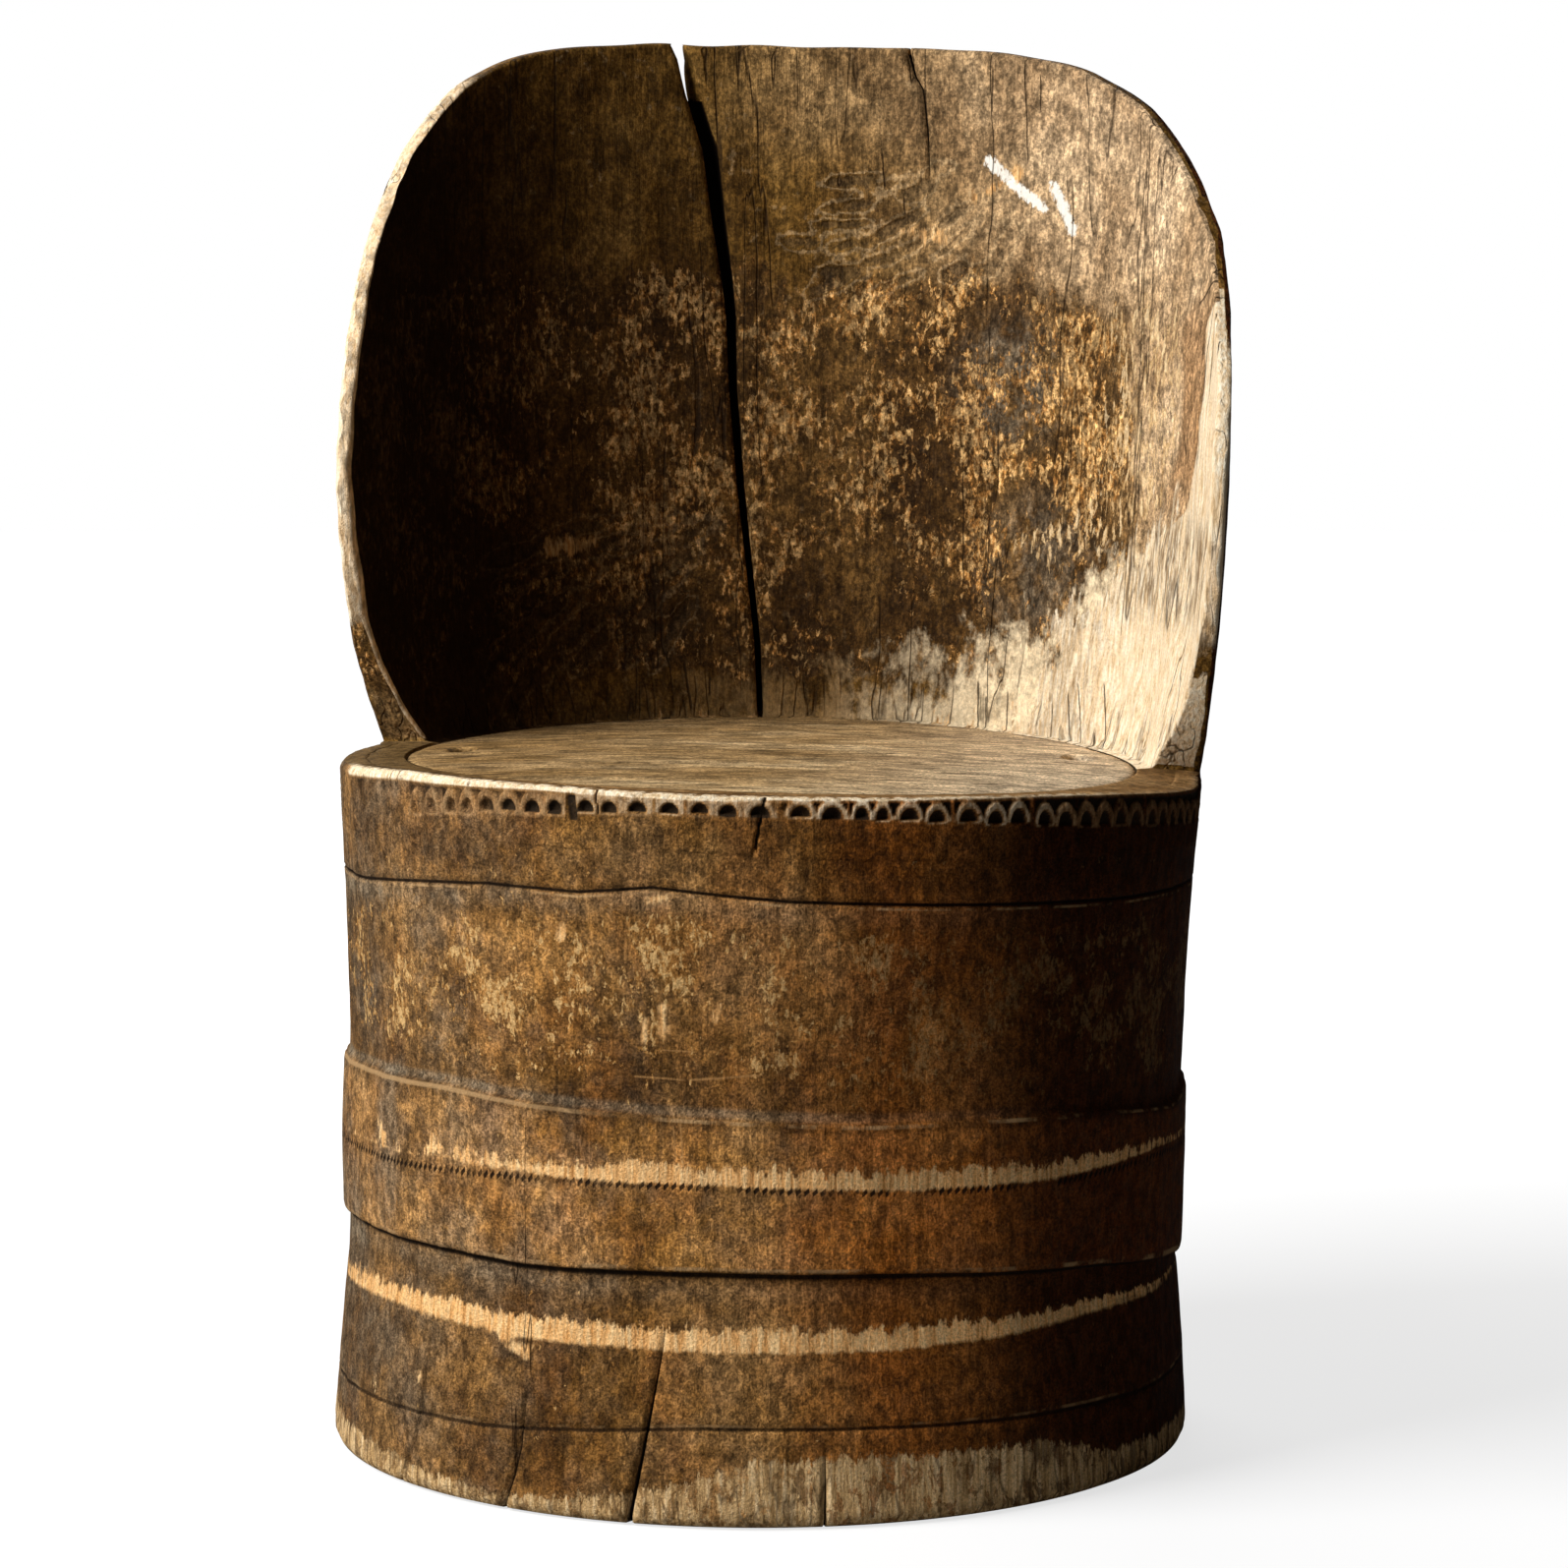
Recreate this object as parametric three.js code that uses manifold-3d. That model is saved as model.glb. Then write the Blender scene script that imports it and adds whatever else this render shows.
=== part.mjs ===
// A chair hewn from one hollowed log. The front half of the log ends at seat height, the rear half rises
// as a thin winged back, and a loose round board in the mouth of the hollow is both the seat and the lid.
// Millimetres, +Z up, front towards -Y, standing on z = 0.

import * as THREE from "three";
import { mergeVertices } from "three/addons/utils/BufferGeometryUtils.js";
import Module from "manifold-3d";

const wasm = await Module();
wasm.setup();

const degree = Math.PI / 180;

// Trunk: the log's radius at the rim, and how far its outer face is hewn in from there, from the floor up
const rimRadius = 242.8;
const rimHeight = 387;
const footInset = 0.3;
const footWear = 6;
const shinInset = 2.8;
const shinHeight = 58;
const waistInset = 8;
const waistHeight = 108;
const bandInset = 4.6;
const bandCrown = 0.6;
const bandBottomHeight = 135;
const bandUndercut = 3;
const bandTopHeight = 219;
const bandLedgeRise = 5;
const neckInset = 7.6;
const lowerWallInset = 6.4;
const lowerWallHeight = 269;
const upperWallInset = 4;
const upperWallHeight = 320;
const rimWear = 3;
const rimFlareRadiusShare = 0.7;
const rimFlareHeightShare = 0.6;

// The rim, the seat and the bands fall away from the front to either side
const archDrop = 8;
const archHeight = 45;

// The foot is sawn level, and the log leans to the right above it
const logLean = 1 * degree;
const leanHeight = 24;

// Back: its outer face swells above the rim and draws in a little at the top
const overallHeight = 789.5;
const backSwell = 9.7;
const backTopDraw = 3.1;
const swellShare = 0.45;
const drawShare = 0.75;
const backFootThickness = 33;
const backTopThickness = 14;
const wingFootThickness = 28;
const wingThickness = 8;
const wingThinningPower = 8;
const wingTaperPower = 3;

// Wings: how far round from the middle of the back they reach at the foot, where they are widest, and where
// the crown begins; the grain of the log turns the back as it rises
const wingFootAngle = 79.3 * degree;
const wingAngle = 91.8 * degree;
const crownAngle = 69.3 * degree;
const crownDrop = 86.5;
const crownPower = 4.2;
const wingWidestShare = 0.446;
const wingFlarePower = 2.4;
const wingReturnPower = 1.8;
const grainTwist = 9.2 * degree;
const twistPower = 2.1;

// The drying split follows the grain up the back, and opens right through it only at the top; its path is
// given as [share of the back's height, share of its angle at the top]
const splitTopAngle = 26.7 * degree;
const splitPathShares = [
  [0, 0.47],
  [0.22, 0.55],
  [0.49, 0.64],
  [0.8, 0.76],
  [0.88, 0.82],
  [0.94, 0.92],
  [1, 1],
];
const splitTopWidth = 10;
const splitFootWidth = 5;
const splitDepth = 14;
const splitThroughShare = 0.9;
const cutOverrun = 20;

// Hollow: a rebate for the seat, a ledge that carries it, and a groove for the bottom boards
const rimWall = 37;
const seatGap = 1.8;
const ledgeWidth = 13;
const seatThickness = 38;
const seatSink = 1;
const seatEdgeWear = 3;
const mouthWear = 2;
const fit = 0.3;
const weldDistance = 0.001;
const bottomHeight = 32;
const bottomThickness = 20;
const bottomEdgeThickness = 10;
const bottomBevel = 24;
const grooveDepth = 8;

// Seat: finger holes near the two ends of its grain, and two battens slid in from below
const lidTurn = 12 * degree;
const seatRingShares = [0.72, 0.42];
const fingerHoleInset = 29;
const fingerHoleSetback = 27;
const fingerHoleWidth = 17;
const fingerHoleLength = 30;
const battenOffset = 104;
const battenWidth = 34;
const battenDrop = 18;
const battenChamfer = 6;
const battenEndGap = 6;
const dovetailDepth = 11;
const dovetailFlare = 4;
const dovetailTaper = 2;

// Bottom: two boards and two dowels
const dowelDiameter = 12;
const dowelLength = 60;
const dowelChamfer = 1.5;
const dowelOffset = 95;

// Faces round the log and up it
const backColumns = 44;
const frontColumns = 54;
const backRows = 15;
const splitRows = 14;
const discSides = 72;
const dowelSides = 12;

// Woods: the outer faces are dark with age, the hidden ones pale
const darkWood = new THREE.MeshStandardMaterial({ color: 0x4a3320, roughness: 0.62, metalness: 0 });
const seatWood = new THREE.MeshStandardMaterial({ color: 0x6b5236, roughness: 0.7, metalness: 0 });
const battenWood = new THREE.MeshStandardMaterial({ color: 0x8a6a45, roughness: 0.8, metalness: 0 });
const bottomWood = new THREE.MeshStandardMaterial({ color: 0x7a5d3c, roughness: 0.82, metalness: 0 });
const dowelWood = new THREE.MeshStandardMaterial({ color: 0xa58558, roughness: 0.75, metalness: 0 });

const mix = (from, to, share) => from + (to - from) * share;
const ease = (from, to, value) => THREE.MathUtils.smoothstep(value, from, to);

// A closed skin is built from rows of points that are joined strip by strip
class Skin {
  constructor() {
    this.points = [];
    this.faces = [];
  }

  row(points) {
    const first = this.points.length;
    this.points.push(...points);
    return points.map((_, index) => first + index);
  }

  quad(a, b, c, d) {
    this.faces.push(a, b, c, a, c, d);
  }

  strip(lower, upper) {
    for (let i = 0; i + 1 < lower.length; i += 1) {
      this.quad(lower[i], lower[i + 1], upper[i + 1], upper[i]);
    }
  }

  ring(lower, upper) {
    this.strip([...lower, lower[0]], [...upper, upper[0]]);
  }

  fan(centre, rim) {
    for (let i = 0; i < rim.length; i += 1) {
      this.faces.push(centre, rim[i], rim[(i + 1) % rim.length]);
    }
  }

  geometry() {
    const geometry = new THREE.BufferGeometry();
    const positions = this.points.flatMap((point) => point.toArray());
    geometry.setAttribute("position", new THREE.Float32BufferAttribute(positions, 3));
    geometry.setIndex(this.faces);
    return geometry;
  }
}

function solid(geometry) {
  const bare = geometry.clone();
  bare.deleteAttribute("normal");
  bare.deleteAttribute("uv");
  const merged = mergeVertices(bare, weldDistance);
  return new wasm.Manifold(new wasm.Mesh({
    numProp: 3,
    vertProperties: new Float32Array(merged.attributes.position.array),
    triVerts: new Uint32Array(merged.index.array),
  }));
}

function geometryOf(body) {
  const mesh = body.getMesh();
  const geometry = new THREE.BufferGeometry();
  geometry.setAttribute("position", new THREE.Float32BufferAttribute(mesh.vertProperties, 3));
  geometry.setIndex([...mesh.triVerts]);
  return geometry;
}

function named(name, geometry, material) {
  const flat = geometry.toNonIndexed();
  flat.computeVertexNormals();
  const mesh = new THREE.Mesh(flat, material);
  mesh.name = name;
  return mesh;
}

// How far the rim and bands have fallen at a place this far to the side
const archAt = (x) => archDrop * (x / rimRadius) ** 2;

// A point of the log, from its angle round from the middle of the back, its radius and its height
function logPoint(angle, radius, height, archShare) {
  const x = -radius * Math.sin(angle);
  const y = radius * Math.cos(angle);
  const z = height - archAt(x) * archShare;
  const lean = logLean * ease(0, leanHeight, height);
  return new THREE.Vector3(
    x * Math.cos(lean) + z * Math.sin(lean),
    y,
    z * Math.cos(lean) - x * Math.sin(lean),
  );
}

const footRadius = rimRadius - footInset;
const shinRadius = rimRadius - shinInset;
const waistRadius = rimRadius - waistInset;
const bandRadius = rimRadius - bandInset;
const neckRadius = rimRadius - neckInset;
const lowerWallRadius = rimRadius - lowerWallInset;
const upperWallRadius = rimRadius - upperWallInset;

// Outer face of the trunk from the foot to just under the rim, as [radius, height]
const trunkProfile = [
  [footRadius - footWear, 0],
  [footRadius - footWear * (1 - Math.SQRT1_2), footWear * (1 - Math.SQRT1_2)],
  [footRadius, footWear],
  [shinRadius, shinHeight],
  [waistRadius, waistHeight],
  [waistRadius, bandBottomHeight - bandUndercut],
  [bandRadius, bandBottomHeight],
  [bandRadius + bandCrown, (bandBottomHeight + bandTopHeight) / 2],
  [bandRadius, bandTopHeight],
  [neckRadius, bandTopHeight + bandLedgeRise],
  [lowerWallRadius, lowerWallHeight],
  [upperWallRadius, upperWallHeight],
  [
    mix(upperWallRadius, rimRadius, rimFlareRadiusShare),
    mix(upperWallHeight, rimHeight, rimFlareHeightShare),
  ],
];

const seatTop = rimHeight - seatSink;
const seatUnderside = seatTop - seatThickness;
const rebateRadius = rimRadius - rimWall;
const seatRadius = rebateRadius - seatGap;
const hollowRadius = rebateRadius - ledgeWidth;
const grooveRadius = hollowRadius + grooveDepth;
const grooveBottom = bottomHeight + (bottomThickness - bottomEdgeThickness) / 2;
const grooveTop = grooveBottom + bottomEdgeThickness;
const backHeight = overallHeight - rimHeight;

const archShareAt = (height) => ease(0, archHeight, height);
const shareUpBack = (height) => (height - rimHeight) / backHeight;
const twistAt = (height) => grainTwist * Math.max(0, shareUpBack(height)) ** twistPower;

// Outer radius of the back at a height
function backRadiusAt(height) {
  const share = shareUpBack(height);
  const swell = backSwell * Math.sin((Math.PI / 2) * Math.min(1, share / swellShare));
  const draw = backTopDraw * (Math.max(0, share - drawShare) / (1 - drawShare)) ** 2;
  return rimRadius + swell - draw;
}

// How far round the wing's front edge stands, going up it from foot (0) to crown (1)
function wingReachAt(rise) {
  if (rise < wingWidestShare) {
    const left = 1 - rise / wingWidestShare;
    return wingAngle - (wingAngle - wingFootAngle) * left ** wingFlarePower;
  }
  const past = (rise - wingWidestShare) / (1 - wingWidestShare);
  return wingAngle - (wingAngle - crownAngle) * past ** wingReturnPower;
}

// Thickness of the back, across it from the middle (0) to a wing's edge (1), and up it
function backThicknessAt(across, rise) {
  const middle = mix(backFootThickness, backTopThickness, rise);
  const edge = mix(wingThickness, wingFootThickness, (1 - rise) ** wingThinningPower);
  return mix(middle, edge, across ** wingTaperPower);
}

// A place in the back: side runs from -1 at the right wing's edge to 1 at the left wing's edge
function backPlace(side, rise) {
  const across = Math.abs(side);
  const height = mix(rimHeight, overallHeight - crownDrop * across ** crownPower, rise);
  return {
    height,
    angle: side * wingReachAt(rise) + twistAt(height),
    radius: backRadiusAt(height),
    thickness: backThicknessAt(across, rise),
    archShare: (1 - rise) ** wingThinningPower,
  };
}

// Columns round the log: the back first, from the right wing to the left one, then the front
const backSides = Array.from({ length: backColumns + 1 }, (_, i) => -1 + (2 * i) / backColumns);
const frontAngles = Array.from({ length: frontColumns - 1 }, (_, i) =>
  mix(wingFootAngle, 2 * Math.PI - wingFootAngle, (i + 1) / frontColumns));
const columnAngles = [...backSides.map((side) => side * wingFootAngle), ...frontAngles];
const isBack = (column) => column <= backColumns;

function logRow(radiusAt, heightAt, archShare) {
  return columnAngles.map((angle, column) =>
    logPoint(angle, radiusAt(column), heightAt(column), archShare));
}

// Inner radius of the wall where the back stands on the rim
function wallFootRadius(column) {
  const across = Math.abs(backSides[column]);
  return Math.max(rimRadius - backThicknessAt(across, 0), rebateRadius + mouthWear);
}

function logBody() {
  const skin = new Skin();
  const outerRows = trunkProfile.map(([radius, height]) =>
    skin.row(logRow(() => radius, () => height, archShareAt(height))));
  const rimFaceRow = skin.row(logRow(() => rimRadius, () => rimHeight - rimWear, 1));
  const rimOuterRow = skin.row(logRow((column) => (isBack(column) ? rimRadius : rimRadius - rimWear),
    () => rimHeight, 1));
  const rimInnerRow = skin.row(logRow(
    (column) => (isBack(column) ? wallFootRadius(column) : rebateRadius + mouthWear), () => rimHeight, 1));
  const innerProfile = [
    [rebateRadius, rimHeight - mouthWear, 1],
    [rebateRadius, seatUnderside - fit, 0],
    [hollowRadius, seatUnderside - fit, 0],
    [hollowRadius, (seatUnderside + grooveTop) / 2, 0],
    [hollowRadius, grooveTop + fit, 0],
    [grooveRadius, grooveTop + fit, 0],
    [grooveRadius, grooveBottom - fit, 0],
    [hollowRadius, grooveBottom - fit, 0],
    [hollowRadius, 0, 0],
  ];
  const innerRows = innerProfile.map(([radius, height, archShare]) =>
    skin.row(logRow(() => radius, () => height, archShare)));

  // The trunk closes on itself under the foot, and on the rim only across the front
  const upTheOutside = [...outerRows, rimFaceRow, rimOuterRow];
  const downTheInside = [rimInnerRow, ...innerRows, outerRows[0]];
  for (const rows of [upTheOutside, downTheInside]) {
    for (let i = 0; i + 1 < rows.length; i += 1) {
      skin.ring(rows[i], rows[i + 1]);
    }
  }
  const acrossFront = (row) => [...row.slice(backColumns), row[0]];
  skin.strip(acrossFront(rimOuterRow), acrossFront(rimInnerRow));

  // The back rises from the rim's rear columns
  const backRowPoints = (rise, insetShare) => backSides.map((side) => {
    const place = backPlace(side, rise);
    const radius = place.radius - place.thickness * insetShare;
    return logPoint(place.angle, radius, place.height, place.archShare);
  });
  const outside = [rimOuterRow.slice(0, backColumns + 1)];
  const inside = [rimInnerRow.slice(0, backColumns + 1)];
  for (let i = 1; i <= backRows; i += 1) {
    outside.push(skin.row(backRowPoints(i / backRows, 0)));
    inside.push(skin.row(backRowPoints(i / backRows, 1)));
  }
  for (let i = 0; i < backRows; i += 1) {
    skin.strip(outside[i], outside[i + 1]);
    skin.strip(inside[i + 1], inside[i]);
    skin.quad(outside[i][0], outside[i + 1][0], inside[i + 1][0], inside[i][0]);
    skin.quad(outside[i + 1].at(-1), outside[i].at(-1), inside[i].at(-1), inside[i + 1].at(-1));
  }
  skin.strip(outside[backRows], inside[backRows]);
  return geometryOf(solid(skin.geometry()).subtract(solid(splitBlade())));
}

// The value that a table of [share, value] pairs has at a share
function follow(table, share) {
  const next = Math.max(1, table.findIndex(([at]) => at >= share));
  const [from, low] = table[next - 1];
  const [to, high] = table[next];
  return mix(low, high, (share - from) / (to - from));
}

// The wedge of air that the drying split leaves: right through the back at the top, a groove below it
function splitBlade() {
  const skin = new Skin();
  const rows = [];
  for (let i = 0; i <= splitRows; i += 1) {
    const share = i / splitRows;
    const height = mix(rimHeight, overallHeight + cutOverrun, share);
    const angle = splitTopAngle * follow(splitPathShares, Math.min(1, shareUpBack(height)));
    const face = backRadiusAt(height) - mix(backFootThickness, backTopThickness, share);
    const inner = face - cutOverrun;
    const outer = share < splitThroughShare ? face + splitDepth : backRadiusAt(height) + cutOverrun;
    const halfWidth = mix(splitFootWidth, splitTopWidth, share) / 2;
    const corner = (radius, offset) => logPoint(angle + offset / radius, radius, height, 0);
    rows.push(skin.row([
      corner(outer, -halfWidth),
      corner(outer, halfWidth),
      corner(inner, halfWidth),
      corner(inner, -halfWidth),
    ]));
  }
  for (let i = 0; i < splitRows; i += 1) {
    skin.ring(rows[i], rows[i + 1]);
  }
  const foot = rows[0];
  const head = rows[splitRows];
  skin.quad(foot[3], foot[2], foot[1], foot[0]);
  skin.quad(head[0], head[1], head[2], head[3]);
  return skin.geometry();
}

// A lens with pointed ends front and back, cut down through the seat
function fingerHole(side) {
  const bulge = fingerHoleWidth;
  const outline = new THREE.Shape();
  outline.moveTo(0, -fingerHoleLength / 2);
  outline.quadraticCurveTo(bulge, 0, 0, fingerHoleLength / 2);
  outline.quadraticCurveTo(-bulge, 0, 0, -fingerHoleLength / 2);
  const cut = new THREE.ExtrudeGeometry(outline, {
    depth: seatThickness + 2 * cutOverrun, bevelEnabled: false, curveSegments: 6,
  });
  cut.translate(side * (seatRadius - fingerHoleInset), fingerHoleSetback, seatUnderside - cutOverrun);
  return cut;
}

// A dovetail bar along Y under the seat: narrow at the board's face, flared into it, tapered front to rear
function dovetailBar(clearance, halfLength, drop, chamfer) {
  const skin = new Skin();
  const section = (y) => {
    const neck = battenWidth / 2 - (dovetailTaper / 2) * (y / seatRadius) + clearance;
    const head = neck + dovetailFlare;
    const low = seatUnderside - drop;
    const corners = [
      ...(chamfer > 0 ? [[neck - chamfer, low]] : []),
      [neck, low + chamfer],
      [neck, seatUnderside],
      [head, seatUnderside + dovetailDepth + clearance],
    ];
    const right = corners.map(([x, z]) => new THREE.Vector3(x, y, z));
    const left = corners.map(([x, z]) => new THREE.Vector3(-x, y, z)).reverse();
    return skin.row([...right, ...left]);
  };
  const rear = section(halfLength);
  const front = section(-halfLength);
  skin.ring(rear, front);
  for (let i = 1; i + 1 < rear.length; i += 1) {
    skin.faces.push(rear[0], rear[i + 1], rear[i]);
    skin.faces.push(front[0], front[i], front[i + 1]);
  }
  return skin.geometry();
}

const battenHalfLength = Math.sqrt(
  (hollowRadius - battenEndGap) ** 2 - (battenOffset + battenWidth / 2 + dovetailTaper) ** 2);

function seatBoard() {
  const skin = new Skin();
  const turns = Array.from({ length: discSides }, (_, i) => (2 * Math.PI * i) / discSides);
  const ringAt = (radius, heightAt) => skin.row(turns.map((turn) => {
    const x = radius * Math.cos(turn);
    const y = radius * Math.sin(turn);
    return new THREE.Vector3(x, y, heightAt(x, y));
  }));

  // The board is turned in its mouth, so the fall of its top face is measured across the log
  const across = (x, y) => x * Math.cos(lidTurn) - y * Math.sin(lidTurn);
  const topAt = (x, y) => seatTop - archAt(across(x, y));
  const rings = [
    ringAt(seatRadius, () => seatUnderside),
    ringAt(seatRadius, (x, y) => topAt(x, y) - seatEdgeWear),
    ringAt(seatRadius - seatEdgeWear, topAt),
    ...seatRingShares.map((share) => ringAt(seatRadius * share, topAt)),
  ];
  for (let i = 0; i + 1 < rings.length; i += 1) {
    skin.ring(rings[i], rings[i + 1]);
  }
  const [topCentre] = skin.row([new THREE.Vector3(0, 0, seatTop)]);
  const [bottomCentre] = skin.row([new THREE.Vector3(0, 0, seatUnderside)]);
  skin.fan(topCentre, rings.at(-1));
  skin.fan(bottomCentre, [...rings[0]].reverse());

  let board = solid(skin.geometry());
  for (const side of [-1, 1]) {
    const groove = dovetailBar(fit, seatRadius + seatGap, seatThickness, 0);
    groove.translate(side * battenOffset, 0, 0);
    board = board.subtract(solid(fingerHole(side))).subtract(solid(groove));
  }
  return geometryOf(board);
}

function seatBatten(side) {
  const bar = dovetailBar(0, battenHalfLength, battenDrop, battenChamfer);
  bar.translate(side * battenOffset, 0, 0);
  return bar;
}

// The whole round bottom, thinned to a tongue at its edge, and the half of it in front or behind the joint
function bottomBoard(side) {
  const edge = grooveRadius - fit;
  const shoulder = hollowRadius - fit - bottomBevel;
  const profile = [
    [0, bottomHeight],
    [shoulder, bottomHeight],
    [hollowRadius - fit, grooveBottom],
    [edge, grooveBottom],
    [edge, grooveTop],
    [hollowRadius - fit, grooveTop],
    [shoulder, bottomHeight + bottomThickness],
    [0, bottomHeight + bottomThickness],
  ].map(([radius, height]) => new THREE.Vector2(radius, height));
  const disc = new THREE.LatheGeometry(profile, discSides);
  disc.rotateX(Math.PI / 2);
  const half = new THREE.BoxGeometry(footRadius * 2, footRadius, footRadius);
  half.translate(0, -side * (footRadius - fit) / 2, 0);
  let board = solid(disc).subtract(solid(half));
  for (const x of [-dowelOffset, dowelOffset]) {
    board = board.subtract(solid(dowel(x, fit)));
  }
  return geometryOf(board);
}

// A dowel along Y across the joint of the bottom boards
function dowel(x, clearance) {
  const radius = dowelDiameter / 2 + clearance;
  const end = dowelLength / 2 + clearance;
  const profile = [
    [0, -end],
    [radius - dowelChamfer, -end],
    [radius, dowelChamfer - end],
    [radius, end - dowelChamfer],
    [radius - dowelChamfer, end],
    [0, end],
  ].map(([across, along]) => new THREE.Vector2(across, along));
  const pin = new THREE.LatheGeometry(profile, dowelSides);
  pin.translate(x, 0, bottomHeight + bottomThickness / 2);
  return pin;
}

// Seat, battens and bottom sit square to the leaning log, and the seat is turned a little in its mouth
const seat = new THREE.Group();
seat.add(
  named("seat_board", seatBoard(), seatWood),
  named("seat_batten_left", seatBatten(-1), battenWood),
  named("seat_batten_right", seatBatten(1), battenWood),
);
seat.rotation.z = lidTurn;

const leaning = new THREE.Group();
leaning.add(
  seat,
  named("bottom_board_front", bottomBoard(-1), bottomWood),
  named("bottom_board_rear", bottomBoard(1), bottomWood),
  named("bottom_dowel_left", dowel(-dowelOffset, 0), dowelWood),
  named("bottom_dowel_right", dowel(dowelOffset, 0), dowelWood),
);
leaning.rotation.y = logLean;

const chair = new THREE.Group();
chair.add(named("log_body", logBody(), darkWood), leaning);

// The origin is on the floor, under the middle of the chair
const extent = new THREE.Box3().setFromObject(chair, true);
chair.position.set(-(extent.min.x + extent.max.x) / 2, -(extent.min.y + extent.max.y) / 2, 0);

const group = new THREE.Group();
group.add(chair);

export default group;
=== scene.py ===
# A chair hewn from one hollowed log, with its worn, dark, chip-carved surfaces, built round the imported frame.
# Metres, +Z up, front towards -Y. Left and right are as the photograph shows them, so left is towards -X.
# Angles named round are counter-clockwise from the middle of the back, as seen from above. Angles named turn
# are degrees from the front towards the right.

import math
import random

import bpy
import numpy as np
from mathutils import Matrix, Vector


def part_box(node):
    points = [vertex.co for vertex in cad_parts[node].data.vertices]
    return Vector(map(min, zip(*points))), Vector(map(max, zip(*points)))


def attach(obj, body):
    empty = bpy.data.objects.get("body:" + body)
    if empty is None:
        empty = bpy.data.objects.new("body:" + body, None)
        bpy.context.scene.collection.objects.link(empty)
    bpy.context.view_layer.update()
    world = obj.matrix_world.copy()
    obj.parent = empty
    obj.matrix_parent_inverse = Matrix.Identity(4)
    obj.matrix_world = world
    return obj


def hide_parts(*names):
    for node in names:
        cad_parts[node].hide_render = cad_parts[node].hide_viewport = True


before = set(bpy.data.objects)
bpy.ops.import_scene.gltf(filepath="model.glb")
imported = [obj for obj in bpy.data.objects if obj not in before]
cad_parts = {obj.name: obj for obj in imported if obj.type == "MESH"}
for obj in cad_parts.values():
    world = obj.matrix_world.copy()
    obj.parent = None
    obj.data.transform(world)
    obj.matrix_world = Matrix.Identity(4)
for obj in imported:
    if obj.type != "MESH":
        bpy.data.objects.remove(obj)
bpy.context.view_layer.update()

MM = 0.001
MM_PER_DEGREE = 4.1  # Round the log's outside

# The photograph's camera: where it stands from the log's axis, and how far it looks down
CAMERA_DISTANCE = 2.781
CAMERA_HEIGHT = 0.6713
CAMERA_AZIMUTH = math.radians(10.8)
CAMERA_PITCH = math.radians(6.226)
PHOTO_WIDTH = 1595
FOCAL_PIXELS = 5031.5
AXIS_COLUMN_PIXEL = 772.8

# The log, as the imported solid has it
LOG_LEAN = math.radians(1.0)
LEAN_HEIGHT = 24 * MM
RIM_RADIUS = 242.8 * MM
RIM_HEIGHT = 387 * MM
ARCH_DROP = 8 * MM
ARCH_HEIGHT = 45 * MM
OVERALL_HEIGHT = 789.5 * MM
RIM_WALL = 37 * MM
MOUTH_WEAR = 0.5 * MM
REBATE_RADIUS = RIM_RADIUS - RIM_WALL
HOLLOW_RADIUS = REBATE_RADIUS - 13 * MM
LEDGE_HEIGHT = 347.7 * MM
GROOVE_RADIUS = HOLLOW_RADIUS + 8 * MM
GROOVE_BOTTOM = 36.7 * MM
GROOVE_TOP = 47.3 * MM
BACK_HEIGHT = OVERALL_HEIGHT - RIM_HEIGHT

# The carved strip's place at the rim: how far in it is cut, and how far down at the rim's top
STRIP_RECESS = 3.8 * MM
STRIP_SINK = 1.6 * MM

# The seat board: how far it is turned in the mouth, and its radius
SEAT_TURN = math.radians(12)
SEAT_RADIUS = REBATE_RADIUS - 1.8 * MM

# The row of small nicks cut in the raised band: how many a whole round would have, and their level
TOOTH_COUNT = 345
TOOTH_LEVEL = 180.9

# How much the wood shines, as the shader's specular level
WOOD_SHINE = 0.03

# Trunk: how far its outer face is hewn in from the rim's radius, as (height, inset)
TRUNK_PROFILE = [
    (0, 6.3), (1.8, 2.1), (6, 0.3), (53, 2.6), (54, 3.6), (55, 2.7), (58, 2.8), (108, 8), (131, 8.6),
    (134, 8.6), (135, 5.2), (137, 4.6), (177, 4), (215, 4.6), (218, 5), (219.5, 6.4), (221.5, 7.8),
    (228, 7.9), (269, 6.4), (320, 4), (332.6, 3.2), (334, 4.7), (335.2, 3), (360, 1.2), (384, 0),
]
EXACT_LEVELS = [
    0, 1.8, 4, 6, 53, 54, 55, 131, 132.5, 134, 135, 136, 137.5, 215, 217, 218.2, 219.5, 221.5, 224, 332.6,
    334, 335.2,
]
LEVEL_STEP = 4.2

# How far the rim's worn outer edge stands above or below its even arch, as (turn, lift)
RIM_LIFT = [
    (-101, 0), (-75, 0.5), (-62, 2), (-54, 3.4), (-45, 4.6), (-39, 4.4), (-30, 3.8), (-18, 3), (-9, 2.2),
    (0, 1.7), (12, 1.8), (23, 2.4), (35, 3.8), (53, 4), (61, 3), (69, 1.4), (77, -0.5), (90, -3), (101, 0),
]

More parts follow.
